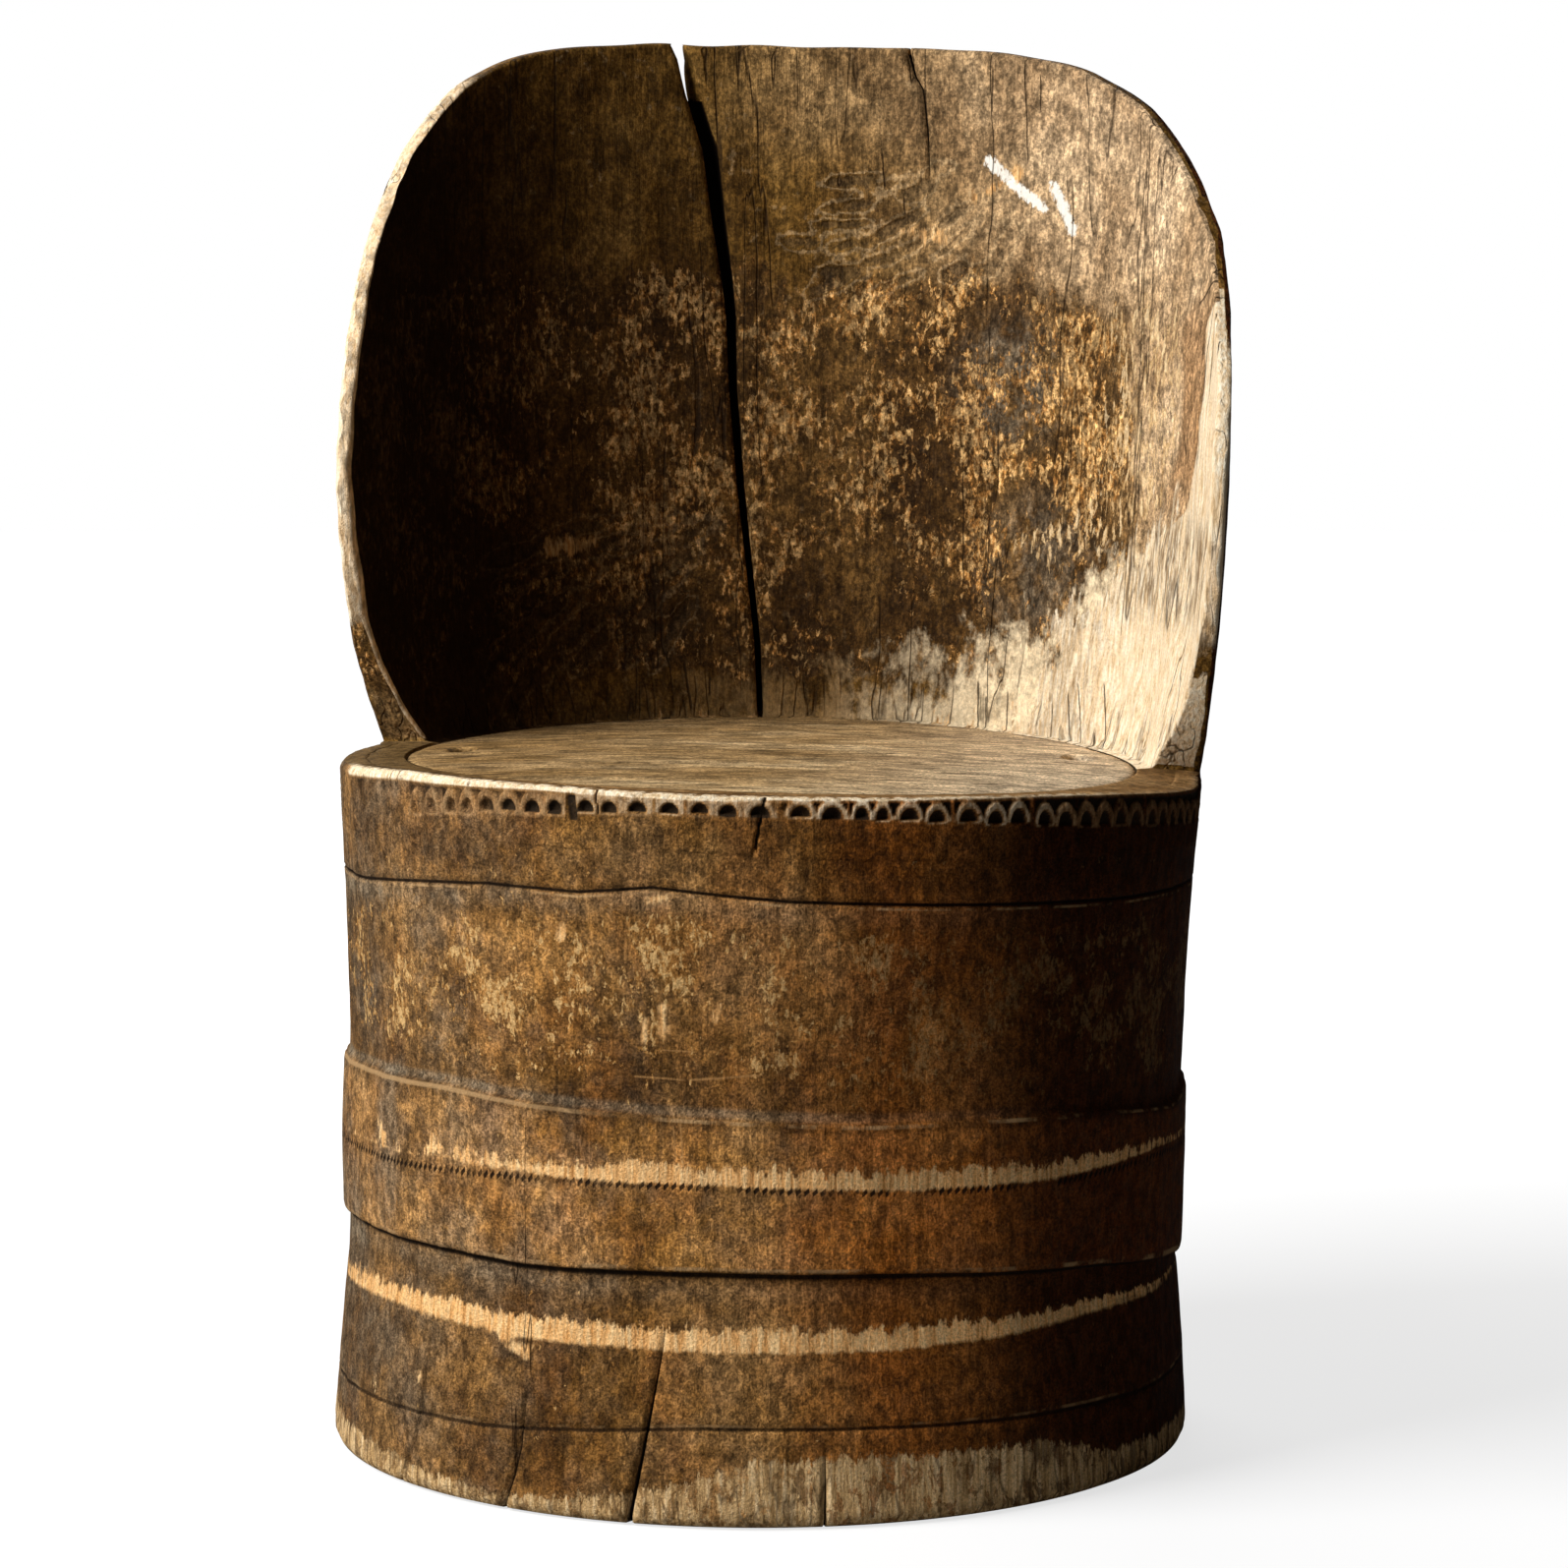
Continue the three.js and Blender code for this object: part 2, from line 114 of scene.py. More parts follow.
# How far the carved lines wander up and down on their way round, as (turn, rise), for each line's height
LINE_WANDER = [
    (0, [(-180, 0), (180, 0)]),
    (54, [(-110, -9), (-60, -12), (-28, -11), (-10, -5), (4, 0), (28, 2), (85, 5), (110, 4)]),
    (101, [
        (-110, 4), (-70, 0), (-46, 4), (-22, -1), (8, -1), (26, 1), (45, 6), (58, 10), (90, 12), (110, 9),
    ]),
    (135, [
        (-110, 0), (-41, 1), (-22, -1.5), (4, 2), (26, 3), (47, 1), (61, -2), (79, -9), (91, -14), (110, -10),
    ]),
    (181, [(-110, -6), (-44, -4), (-22, -1), (0, 1), (30, 0), (53, 2), (75, 6), (110, 2)]),
    (219, [
        (-110, 4), (-66, 4), (-36, 5.5), (-22, 1.5), (0, -1), (26, -2), (45, 0), (60, -1), (81, -9),
        (110, -4),
    ]),
    (334, [
        (-110, -4), (-58, -6), (-39, -1), (-28, 1.5), (-14, 0.5), (-4, 5), (5, 2), (13, 0), (45, -1),
        (110, -2),
    ]),
    (387, RIM_LIFT),
]

# Drying cracks up from the foot, as (height, turn), with their width and depth at the foot
FOOT_CRACKS = [
    {"path": [(0, -43.5), (19, -41.1), (43, -39.6), (86, -38)], "width": 3.4, "depth": 9},
    {"path": [(0, -24), (22, -22.2), (43, -21.2), (72, -20.6)], "width": 5.2, "depth": 11},
    {"path": [(0, -6), (34, -4.6), (61, -3.5), (92, -2.2), (104, -1.8)], "width": 4.8, "depth": 12},
    {"path": [(0, 19), (5, 19), (40, 18.9)], "width": 1.8, "depth": 6},
]

# Back: outer swell, thickness, wings and the turn of the grain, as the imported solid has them
BACK_SWELL = 9.7 * MM
BACK_TOP_DRAW = 3.1 * MM
BACK_FOOT_THICKNESS = 33 * MM
BACK_TOP_THICKNESS = 14 * MM
WING_FOOT_THICKNESS = 28 * MM
WING_THICKNESS = 8 * MM
WING_FOOT_ANGLE = math.radians(79.3)
WING_ANGLE = math.radians(91.8)
CROWN_ANGLE = math.radians(69.3)
CROWN_DROP = 86.5 * MM
WING_WIDEST_SHARE = 0.446
GRAIN_TWIST = math.radians(9.2)
CROWN_WEAR = 3.2 * MM
WING_WEAR = 2.4 * MM

# Cracks in the back, from the inner face, as (height, degrees round), with (height, width) and a depth
BACK_CRACKS = [
    {
        "path": [(700, -11.2), (713, -11.6), (739, -11.2), (765, -10.2), (773, -8.8), (789, -7.7)],
        "width": [(387, 0.3), (700, 0.3), (713, 0.8), (765, 1.6), (789, 3.2)],
        "depth": [(387, 0), (700, 0), (740, 4), (789, 7)],
        "through": 785,
        "outer_width": [(387, 0.3), (780, 0.4), (789, 1.4)],
        "outer_lead": 0.4,
    },
    {
        "path": [
            (387, 12.5), (430, 13.1), (479, 14.6), (527, 16), (586, 17.3), (626, 17.6), (650, 18.3),
            (680, 19.5), (700, 20.1), (728, 21.1), (745, 22.5), (760, 23.7), (780, 25.1), (789, 26.3),
        ],
        "width": [
            (387, 4.6), (480, 5.2), (590, 6.6), (650, 8.6), (700, 11), (730, 11.6), (760, 11), (789, 9.6),
        ],
        "depth": [(387, 14), (789, 11)],
        "through": 755,
        "outer_width": [(387, 0.4), (755, 0.5), (763, 1.2), (775, 2.8), (789, 7.6)],
        "outer_lead": 3.2,
    },
]

COLUMN_STEP = 4.2 * MM
RISE_ROWS = 98
TOP_SHARES = [0.17, 0.29, 0.42, 0.66, 0.96]


def smooth(low, high, value):
    """Runs from 0 at low to 1 at high with soft ends."""
    share = np.clip((np.asarray(value, float) - low) / (high - low), 0, 1)
    return share * share * (3 - 2 * share)


def follow(table, place):
    """The value that a table of (place, value) pairs has at a place."""
    return np.interp(place, [row[0] for row in table], [row[1] for row in table])


def mix(start, end, share):
    return start + (end - start) * share


def evenly(start, end, step):
    """The places between two ends that part them into steps of about that size."""
    count = round((end - start) / step)
    return [start + (end - start) * i / count for i in range(1, count)]


def log_axis():
    """Where the log's axis stands on the floor, from the round bottom boards that fill it."""
    low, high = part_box("bottom_board_front")
    _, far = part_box("bottom_board_rear")
    middle = (low + Vector((high.x, far.y, high.z))) / 2
    return middle.x - math.tan(LOG_LEAN) * middle.z, middle.y


AXIS_X, AXIS_Y = log_axis()


def log_points(angle, radius, height, arch_share):
    """Points of the log from their angle round, radius and height, with its arch and its lean."""
    x = -radius * np.sin(angle)
    y = radius * np.cos(angle)
    z = height - ARCH_DROP * (x / RIM_RADIUS) ** 2 * arch_share
    lean = LOG_LEAN * smooth(0, LEAN_HEIGHT, height)
    leaned_x = x * np.cos(lean) + z * np.sin(lean)
    leaned_z = z * np.cos(lean) - x * np.sin(lean)
    return np.stack([leaned_x + AXIS_X, y + AXIS_Y, leaned_z], axis=-1)


def turn_of(angle):
    """Degrees from the front, -180 to 180, of an angle round from the back."""
    return np.degrees(np.mod(angle, 2 * math.pi)) - 180


def waves(angle, height, seed, round_length, up_length):
    """Smooth unevenness from -1 to 1 over the log, in metres round and up."""
    dice = random.Random(seed)
    total = np.zeros(np.broadcast(angle, height).shape)
    for _ in range(7):
        turns = max(1, round(2 * math.pi * RIM_RADIUS / (round_length * dice.uniform(0.6, 1.7))))
        climb = 2 * math.pi / (up_length * dice.uniform(0.7, 1.6)) * dice.choice((-1, 1))
        total = total + np.sin(turns * angle + climb * height + dice.uniform(0, 2 * math.pi))
    return total / 3.5


def all_round(table):
    """A table over turns at the front, closed at the back by the mean of its two ends."""
    middle = (table[0][1] + table[-1][1]) / 2
    return [(-180, middle)] + table + [(180, middle)]


def line_wander(turn, level):
    """How far the surface's lines are shifted up at a turn, between the carved lines (metres)."""
    rises = np.stack([follow(all_round(table), turn) for _, table in LINE_WANDER])
    heights = [height * MM for height, _ in LINE_WANDER]
    upper = np.clip(np.searchsorted(heights, level), 1, len(heights) - 1)
    share = (level - heights[upper - 1]) / (heights[upper] - heights[upper - 1])
    return mix(rises[upper - 1], rises[upper], share) * MM


def outer_relief(angle, height):
    """Axe-hewn facets of the outer face (metres, outwards)."""
    broad = waves(angle, height, 3, 110 * MM, 420 * MM)
    facets = waves(angle, height, 8, 38 * MM, 160 * MM)
    chips = waves(angle, height, 21, 14 * MM, 34 * MM)
    return (0.9 * broad + 0.45 * facets + 0.14 * chips) * MM


def share_up_back(height):
    return (height - RIM_HEIGHT) / BACK_HEIGHT


def twist_at(height):
    return GRAIN_TWIST * np.clip(share_up_back(height), 0, None) ** 2.1


def back_radius(height):
    share = share_up_back(height)
    swell = BACK_SWELL * np.sin(math.pi / 2 * np.clip(share / 0.45, 0, 1))
    draw = BACK_TOP_DRAW * (np.clip(share - 0.75, 0, None) / 0.25) ** 2
    return RIM_RADIUS + swell - draw


def wing_reach(rise):
    """How far round the wing's edge stands, going up it from foot (0) to crown (1)."""
    if rise < WING_WIDEST_SHARE:
        return WING_ANGLE - (WING_ANGLE - WING_FOOT_ANGLE) * (1 - rise / WING_WIDEST_SHARE) ** 2.4
    above = (rise - WING_WIDEST_SHARE) / (1 - WING_WIDEST_SHARE)
    return WING_ANGLE - (WING_ANGLE - CROWN_ANGLE) * above ** 1.8


def back_thickness(across, rise):
    middle = mix(BACK_FOOT_THICKNESS, BACK_TOP_THICKNESS, rise)
    edge = mix(WING_THICKNESS, WING_FOOT_THICKNESS, (1 - rise) ** 8)
    return mix(middle, edge, across ** 3)


def left_wear(height):
    """How far the left wing's edge is rubbed bare at a height."""
    return float(mix(0.25, 1, smooth(0.455, 0.5, height)))


def right_wear(height):
    """How far the right wing's edge is rubbed bare at a height."""
    return float(mix(0.3, 0.9, smooth(0.45, 0.52, height) * smooth(0.7, 0.65, height)))


def stroke(dice, middles, spreads, ranges):
    """One gouge stroke: degrees round, height, lean, length, width and depth."""
    placed = [middle + dice.uniform(-spread, spread) for middle, spread in zip(middles, spreads)]
    return placed + [dice.uniform(low, high) for low, high in ranges]


def scoops():
    """The gouge strokes left in the inner face: those in rows that still show first, then the worn ones."""
    dice = random.Random(11)
    strokes = []
    for number in range(24):
        row, step = divmod(number, 4)
        middles = (4 - 8.5 * step, 645 + 12 * row + 4 * step, 12 + 9 * step)
        strokes.append(stroke(dice, middles, (4, 5, 12), [(9, 22), (3, 5.5), (0.4, 1.5)]))
    for number in range(30):
        row, step = divmod(number, 5)
        middles = (54 - 7 * step, 412 + 15 * row + 5 * step, 52 - 9 * row)
        strokes.append(stroke(dice, middles, (3, 5, 12), [(11, 24), (3.4, 6), (0.4, 1.4)]))
    for _ in range(60):
        strokes.append(stroke(dice, (0, 590, 40), (75, 180, 60), [(14, 30), (6, 12), (0.15, 0.5)]))
    return strokes


SCOOPS = scoops()
SHOWN_SCOOPS = 54


def stroke_shape(degrees, level, made):
    """How much of its full depth a gouge stroke has at each place."""
    place, height, slope, length, width, _ = made
    across = (place - degrees) * 3.9
    up = level - height
    cos, sin = math.cos(math.radians(slope)), math.sin(math.radians(slope))
    along = (across * cos + up * sin) / length
    beside = (up * cos - across * sin) / width
    return np.exp(-(along ** 4) - beside ** 2)


def scoop_marks(degrees, level):
    """How deep each place lies in one of the gouge strokes that still show, from 0 to 1."""
    return np.maximum.reduce([
        stroke_shape(degrees, level, made) * min(1, made[-1] / 1.1) for made in SCOOPS[:SHOWN_SCOOPS]
    ])


def inner_relief(angle, height):
    """Adze planes and gouge strokes of the back's inner face (metres, into the wood)."""
    planes = waves(angle, height, 5, 90 * MM, 130 * MM)
    dents = waves(angle, height, 14, 30 * MM, 44 * MM)
    relief = 0.9 * planes + 0.35 * dents
    for made in SCOOPS:
        relief = relief + made[-1] * stroke_shape(np.degrees(angle), height / MM, made)
    return relief * MM


class Skin:
    """A closed skin, built from rows of points joined strip by strip. Each point keeps its angle round, its
    level up the log, which face it is on and how worn it is."""

    def __init__(self):
        self.points = []
        self.angles = []
        self.levels = []
        self.kinds = []
        self.wear = []
        self.faces = []
        self.deep = []
        self.count = 0

    def row(self, points, angle, level, kind, wear=0.0):
        size = len(points)
        self.points.append(points)
        self.angles.append(np.broadcast_to(angle, size))
        self.levels.append(np.broadcast_to(level, size))
        self.kinds.append(np.full(size, kind))
        self.wear.append(np.broadcast_to(wear, size))
        self.count += size
        return list(range(self.count - size, self.count))

    def cracks(self):
        """How far each point lies down a crack, from 0 to 1."""
        shares = np.zeros(self.count)
        for numbers, depths in self.deep:
            shares[numbers] = np.clip(np.asarray(depths) / (4 * MM), 0, 1)
        return shares

    def strip(self, lower, upper, skipped=()):
        for i in range(len(lower) - 1):
            if i not in skipped:
                self.faces.append((lower[i], lower[i + 1], upper[i + 1], upper[i]))

    def rings(self, rows):
        for lower, upper in zip(rows, rows[1:]):
            self.strip(lower + lower[:1], upper + upper[:1])

    def piece(self, name, slots, fields):
        """The skin as an object, with a slot for each kind of face and the fields that its finish reads."""
        mesh = bpy.data.meshes.new(name)
        mesh.from_pydata(np.concatenate(self.points).tolist(), [], self.faces)
        mesh.validate()
        kinds = np.concatenate(self.kinds)
        chosen = [slots[max(kinds[corner] for corner in face)] for face in self.faces]
        mesh.polygons.foreach_set("material_index", chosen)
        mesh.polygons.foreach_set("use_smooth", [True] * len(chosen))
        for field, values in fields.items():
            attribute = mesh.attributes.new(field, "FLOAT", "POINT")
            attribute.data.foreach_set("value", np.asarray(values, np.float32))
        piece = bpy.data.objects.new(name, mesh)
        bpy.context.scene.collection.objects.link(piece)
        return piece


OUTSIDE, INSIDE, RIM, HOLLOW, EDGE = range(5)


def edge_cluster(length):
    """Distances from an edge, close together where it is worn round (metres)."""
    near = [0, 0.5, 1.2, 2.1, 3.3, 5.2, 8]
    rest = np.arange(12, length / MM - 2, COLUMN_STEP / MM)
    return np.array(near + rest.tolist()) * MM


def rounding(distance, wear):
    """How far a face falls back beside a worn edge of that radius."""
    left = np.clip(wear - distance, 0, None)
    return wear - np.sqrt(np.clip(wear ** 2 - left ** 2, 0, None))


def crack_share(crack, height, outer=False):
    """Where a crack of the back lies at a height, on its inner or outer face: its share of the way from the
    middle to the wing's edge, and half its width as such a share."""
    rise = np.clip(share_up_back(height), 0, 1)
    reach = wing_reach(float(rise))
    place = (math.radians(float(follow(crack["path"], height / MM))) - float(twist_at(height))) / reach
    length = float(back_radius(height)) * reach
    half = float(follow(crack["width"], height / MM)) * MM / 2 / length
    if outer:
        narrow = float(follow(crack["outer_width"], height / MM)) * MM / 2 / length
        place += half - crack["outer_lead"] * MM / length - narrow
        half = narrow
    return place, half


def back_columns():
    """Shares across the back from the right wing's edge (-1) to the left one's (1), with four columns in each
    crack, and the numbers of each crack's first column."""
    length = RIM_RADIUS * WING_FOOT_ANGLE
    edge = edge_cluster(30 * MM) / length
    last = -1 + edge[-1]
    shares = (-1 + edge).tolist()
    starts = []
    for crack in BACK_CRACKS:
        place, half = crack_share(crack, RIM_HEIGHT)
        shares += evenly(last, place - half, COLUMN_STEP / length)
        starts.append(len(shares))
        shares += [place - half, place - half * 0.6, place + half * 0.6, place + half]
        last = place + half
    shares += evenly(last, 1 - edge[-1], COLUMN_STEP / length)
    shares += (1 - edge[::-1]).tolist()
    return np.array(shares), starts


BACK_SHARES, CRACK_STARTS = back_columns()
BACK_LAST = len(BACK_SHARES) - 1


def shares_at(height, outer=False):
    """The columns' shares at a height, moved so that each crack stays in its own columns."""
    foot = [-1.0]
    here = [-1.0]
    for crack in BACK_CRACKS:
        for table, level, side in ((foot, RIM_HEIGHT, False), (here, height, outer)):
            place, half = crack_share(crack, level, side)
            table.extend([place - half, place + half])
    return np.interp(BACK_SHARES, foot + [1.0], here + [1.0])


def crack_depths(height):
    """How deep each column lies in a crack of the back at a height."""
    depths = np.zeros(len(BACK_SHARES))
    for crack, start in zip(BACK_CRACKS, CRACK_STARTS):
        depths[start + 1:start + 3] = float(follow(crack["depth"], height / MM)) * MM
    return depths


FRONT_REACH = 180 - math.degrees(WING_FOOT_ANGLE)
DEGREE = math.radians(1) * RIM_RADIUS


def front_columns():
    """Degrees from the front of the front columns at the foot, with three columns in each drying crack, and
    each crack's middle column."""
    turns = []
    middles = []
    last = -FRONT_REACH
    for crack in FOOT_CRACKS:
        place = crack["path"][0][1]
        half = crack["width"] * MM / 2 / DEGREE
        turns += evenly(last, place - half, COLUMN_STEP / DEGREE)
        middles.append(len(turns) + 1)
        turns += [place - half, place, place + half]
        last = place + half
    turns += evenly(last, FRONT_REACH, COLUMN_STEP / DEGREE)
    return np.array(turns), middles


FRONT_TURNS, CRACK_MIDDLES = front_columns()


def ring_at(level):
    """The columns' angles all the way round at a level, the back's and then the front's, and how deep each
    lies in a drying crack of the foot."""
    foot = [-FRONT_REACH]
    here = [-FRONT_REACH]
    depths = np.zeros(len(BACK_SHARES) + len(FRONT_TURNS))
    for crack, middle in zip(FOOT_CRACKS, CRACK_MIDDLES):
        top = crack["path"][-1][0]
        open_share = float(np.clip(1 - level / MM / top, 0, 1)) ** 0.7
        start = crack["path"][0][1]
        place = float(follow(crack["path"], level / MM))
        full = crack["width"] * MM / 2 / DEGREE
        half = max(0.15, crack["width"] / 2 * open_share) * MM / DEGREE
        foot += [start - full, start + full]
        here += [place - half, place + half]
        depths[len(BACK_SHARES) + middle] = crack["depth"] * MM * open_share
    turns = np.interp(FRONT_TURNS, foot + [FRONT_REACH], here + [FRONT_REACH])
    return np.concatenate([shares_at(RIM_HEIGHT) * WING_FOOT_ANGLE, np.radians(turns) + math.pi]), depths


def off_wing_foot(turn):
    """Metres along the rim from the nearest wing's foot, at the front."""
    return (FRONT_REACH - np.abs(turn)) * DEGREE


def covered_share(turn):
    """How fully the carved strip covers the rim at a turn, from 0 to 1."""
    at_front = np.abs(turn) < FRONT_REACH - 0.001
    return np.where(at_front, smooth(8 * MM, 16 * MM, off_wing_foot(turn)), 0)


def corner_ease(turn):
    """How far the rim's front corner is worn back at a turn (metres)."""
    at_front = np.abs(turn) < FRONT_REACH - 0.001
    return np.where(at_front, smooth(0, 10 * MM, off_wing_foot(turn)), 0) * 2 * MM


def trunk_row(skin, level):
    """One level of the trunk's outer face, all the way round."""
    angles, cracks = ring_at(level)
    turn = turn_of(angles)
    inset = follow(TRUNK_PROFILE, level / MM) * MM
    recess = smooth(357 * MM, 363 * MM, level) * covered_share(turn) * STRIP_RECESS
    relief = outer_relief(angles, level) * smooth(0, 12 * MM, level)
    radius = RIM_RADIUS - inset + relief - cracks - recess
    arch = float(smooth(0, ARCH_HEIGHT, level))
    points = log_points(angles, radius, level + line_wander(turn, level), arch)
    numbers = skin.row(points, angles, level, OUTSIDE)
    skin.deep.append((numbers, cracks))
    return numbers


def trunk_levels():
    steps = np.arange(10, 384, LEVEL_STEP)
    kept = [level for level in steps if min(abs(level - exact) for exact in EXACT_LEVELS) > 1.6]
    return [level * MM for level in sorted(kept + EXACT_LEVELS)]


def inner_wall(skin, angles, at_front, foot_row):
    """Down the inside: the mouth, the rebate that holds the seat, the ledge, the hollow and its groove. Gives
    the mouth's radii and its row."""
    wall_foot = RIM_RADIUS - back_thickness(np.abs(BACK_SHARES), 0)
    wing_end = smooth(0, 12 * MM, off_wing_foot(turn_of(angles)))
    mouth = np.where(at_front, mix(wall_foot[0], REBATE_RADIUS + MOUTH_WEAR, wing_end), 0)
    mouth[:len(BACK_SHARES)] = np.maximum(wall_foot, REBATE_RADIUS + MOUTH_WEAR)
    slots = np.zeros(len(angles))
    slots[:len(BACK_SHARES)] = np.minimum(crack_depths(RIM_HEIGHT), 9 * MM)
    mouth_points = log_points(angles, mouth + slots, RIM_HEIGHT, 1)
    mouth_kinds = np.where(at_front, RIM, INSIDE)
    rows = [skin.row(mouth_points, angles, RIM_HEIGHT, mouth_kinds)]
    profile = [
        (REBATE_RADIUS + 0.6 * MM, RIM_HEIGHT - 1.2 * MM, 1, 1),
        (REBATE_RADIUS, RIM_HEIGHT - 3 * MM, 1, 1),
        (REBATE_RADIUS, mix(RIM_HEIGHT, LEDGE_HEIGHT, 0.5), 0.5, 1),
        (REBATE_RADIUS, LEDGE_HEIGHT, 0, 1),
        (HOLLOW_RADIUS + 1.5 * MM, LEDGE_HEIGHT, 0, 0),
        (HOLLOW_RADIUS, LEDGE_HEIGHT - 2 * MM, 0, 0),
    ]
    profile += [(HOLLOW_RADIUS, height * MM, 0, 0) for height in range(330, 60, -16)]
    profile += [
        (HOLLOW_RADIUS, GROOVE_TOP + 0.3 * MM, 0, 0),
        (GROOVE_RADIUS, GROOVE_TOP + 0.3 * MM, 0, 0),
        (GROOVE_RADIUS, GROOVE_BOTTOM - 0.3 * MM, 0, 0),
        (HOLLOW_RADIUS, GROOVE_BOTTOM - 0.3 * MM, 0, 0),
        (HOLLOW_RADIUS, 18 * MM, 0, 0),
        (HOLLOW_RADIUS + 3 * MM, 0, 0, 0),
    ]
    for radius, height, arch, slotted in profile:
        hewn = smooth(60 * MM, 90 * MM, height) * smooth(340 * MM, 320 * MM, height)
        uneven = waves(angles, height, 31, 60 * MM, 120 * MM) * 1.1 * MM * hewn
        points = log_points(angles, radius + uneven + slots * slotted, height, arch)
        rows.append(skin.row(points, angles, height, HOLLOW if len(rows) > 1 else mouth_kinds))
    skin.rings(rows + [foot_row])
    return mouth, rows[0]


def rim_top(skin, angles, rim_radius, mouth, outer_row, inner_row):
    """The rim's flat top, across the front from wing foot to wing foot."""
    turn = turn_of(angles)
    around = list(range(BACK_LAST, len(angles))) + [0]
    rows = [[outer_row[i] for i in around]]
    for share in TOP_SHARES:
        sunk = covered_share(turn) * STRIP_SINK * (1 - smooth(0.2, 0.36, share))
        height = RIM_HEIGHT - sunk + line_wander(turn, RIM_HEIGHT) * (1 - share)
        uneven = waves(angles, share, 17, 24 * MM, 1) * 0.25 * MM
        height = height + uneven * (np.abs(turn) < FRONT_REACH - 0.001)
        points = log_points(angles, mix(rim_radius, mouth, share), height, 1)[around]
        rows.append(skin.row(points, angles[around], RIM_HEIGHT, RIM))
    rows.append([inner_row[i] for i in around])
    for outer, inner in zip(rows, rows[1:]):
        skin.strip(outer, inner)
    return rows


class Back:
    """The back, which rises from the rim's rear columns, with its crown and its wings' edges worn round."""

    def __init__(self, skin, rim_outer, rim_inner, top_rows):
        self.skin = skin
        self.outside = [rim_outer[:BACK_LAST + 1]]
        self.inside = [rim_inner[:BACK_LAST + 1]]
        self.right_edge = [[row[-1] for row in top_rows]]
        self.left_edge = [[row[0] for row in top_rows]]
        self.slots_from = {}
        crown_steps = np.array([0, 0.6, 1.4, 2.4, 3.8, 6, 9]) * MM
        plain = np.linspace(0, 1 - 13 * MM / BACK_HEIGHT, RISE_ROWS)[1:]
        for rise in np.concatenate([plain, 1 - crown_steps[::-1] / BACK_HEIGHT]):
            crown = self.add_row(rise)
        self.last = len(self.outside) - 1
        self.open_from = {
            column: first for start, first in self.slots_from.items() for column in range(start, start + 3)
        }
        self.join_rows()
        self.close_crown(*crown)

    def worn_faces(self, rise, share, middle_height, thickness, angle, height):
        """How far the faces fall back at the worn edges, and how bare the outer and inner face are there."""
        from_crown = (1 - rise) * BACK_HEIGHT
        from_edge = (1 - np.abs(share)) * RIM_RADIUS * WING_FOOT_ANGLE
        ragged = 1 + 0.5 * waves(angle, height, 47, 40 * MM, 22 * MM)
        fall = rounding(from_crown, CROWN_WEAR) + rounding(from_edge, WING_WEAR * ragged * rise ** 0.2)
        fall = np.minimum(fall, thickness * 0.42)
        for crack, start in zip(BACK_CRACKS, CRACK_STARTS):
            if follow(crack["depth"], middle_height / MM) > 0:
                fall[[start, start + 3]] += 0.9 * MM
            if middle_height >= crack["through"] * MM:
                self.slots_from.setdefault(start, len(self.outside))
        edge_wear = left_wear(middle_height) * (share > 0) + right_wear(middle_height) * (share < 0)
        crown_wear = mix(0.28, 0.95, smooth(0.62, 0.95, share))
        crown_rub = float(smooth(7 * MM, 1 * MM, from_crown)) * crown_wear
        worn = np.maximum(smooth(8 * MM, 1.5 * MM, from_edge) * edge_wear, crown_rub)
        inner_worn = np.maximum(worn, smooth(4 * MM, 1.2 * MM, from_edge) * (share > 0))
        return fall, worn, inner_worn, edge_wear, crown_wear

    def add_row(self, rise):
        """One row of the back, its outer and inner face and both edges. Gives what the crown is made from."""
        middle_height = mix(RIM_HEIGHT, OVERALL_HEIGHT, rise)
        share = shares_at(middle_height)
        across = np.abs(share)
        bumps = waves(share * 1.4, 0, 41, 60 * MM, 1) * 0.5 * MM
        height = mix(RIM_HEIGHT, OVERALL_HEIGHT - CROWN_DROP * across ** 4.2 + bumps, rise)
        ripple = waves(share, height, 43, 300 * MM, 50 * MM) * math.radians(0.12)
        reach = wing_reach(rise) + ripple * rise
        angle = share * reach + twist_at(height)
        outer_angle = shares_at(middle_height, outer=rise > 0.5) * reach + twist_at(height)
        radius = back_radius(height) + outer_relief(angle, height)
        thickness = back_thickness(across, rise)
        fall, worn, inner_worn, edge_wear, crown_wear = self.worn_faces(
            rise, share, middle_height, thickness, angle, height)
        from_crown = (1 - rise) * BACK_HEIGHT
        carved = inner_relief(angle, height) * smooth(0, 0.02, rise) * smooth(0, 10 * MM, from_crown)
        depth = np.minimum(crack_depths(middle_height), thickness - 3 * MM)
        outer = radius - fall
        inner = np.minimum(radius - thickness + fall + carved + depth, outer - 1.6 * MM)
        arch = (1 - rise) ** 8
        outer_points = log_points(outer_angle, outer, height, arch)
        inner_points = log_points(angle, inner, height, arch)
        self.outside.append(self.skin.row(outer_points, outer_angle, height, OUTSIDE, worn))
        self.inside.append(self.skin.row(inner_points, angle, height, INSIDE, inner_worn))
        self.skin.deep.append((self.inside[-1], depth))
        for edge, column in ((self.right_edge, 0), (self.left_edge, BACK_LAST)):
            radii = np.array([mix(outer[column], inner[column], part) for part in TOP_SHARES])
            points = log_points(np.full(5, angle[column]), radii, np.full(5, height[column]), arch)
            mids = self.skin.row(points, angle[column], height[column], EDGE, float(edge_wear[column]))
            edge.append([self.outside[-1][column]] + mids + [self.inside[-1][column]])
        return outer, inner, angle, height, crown_wear

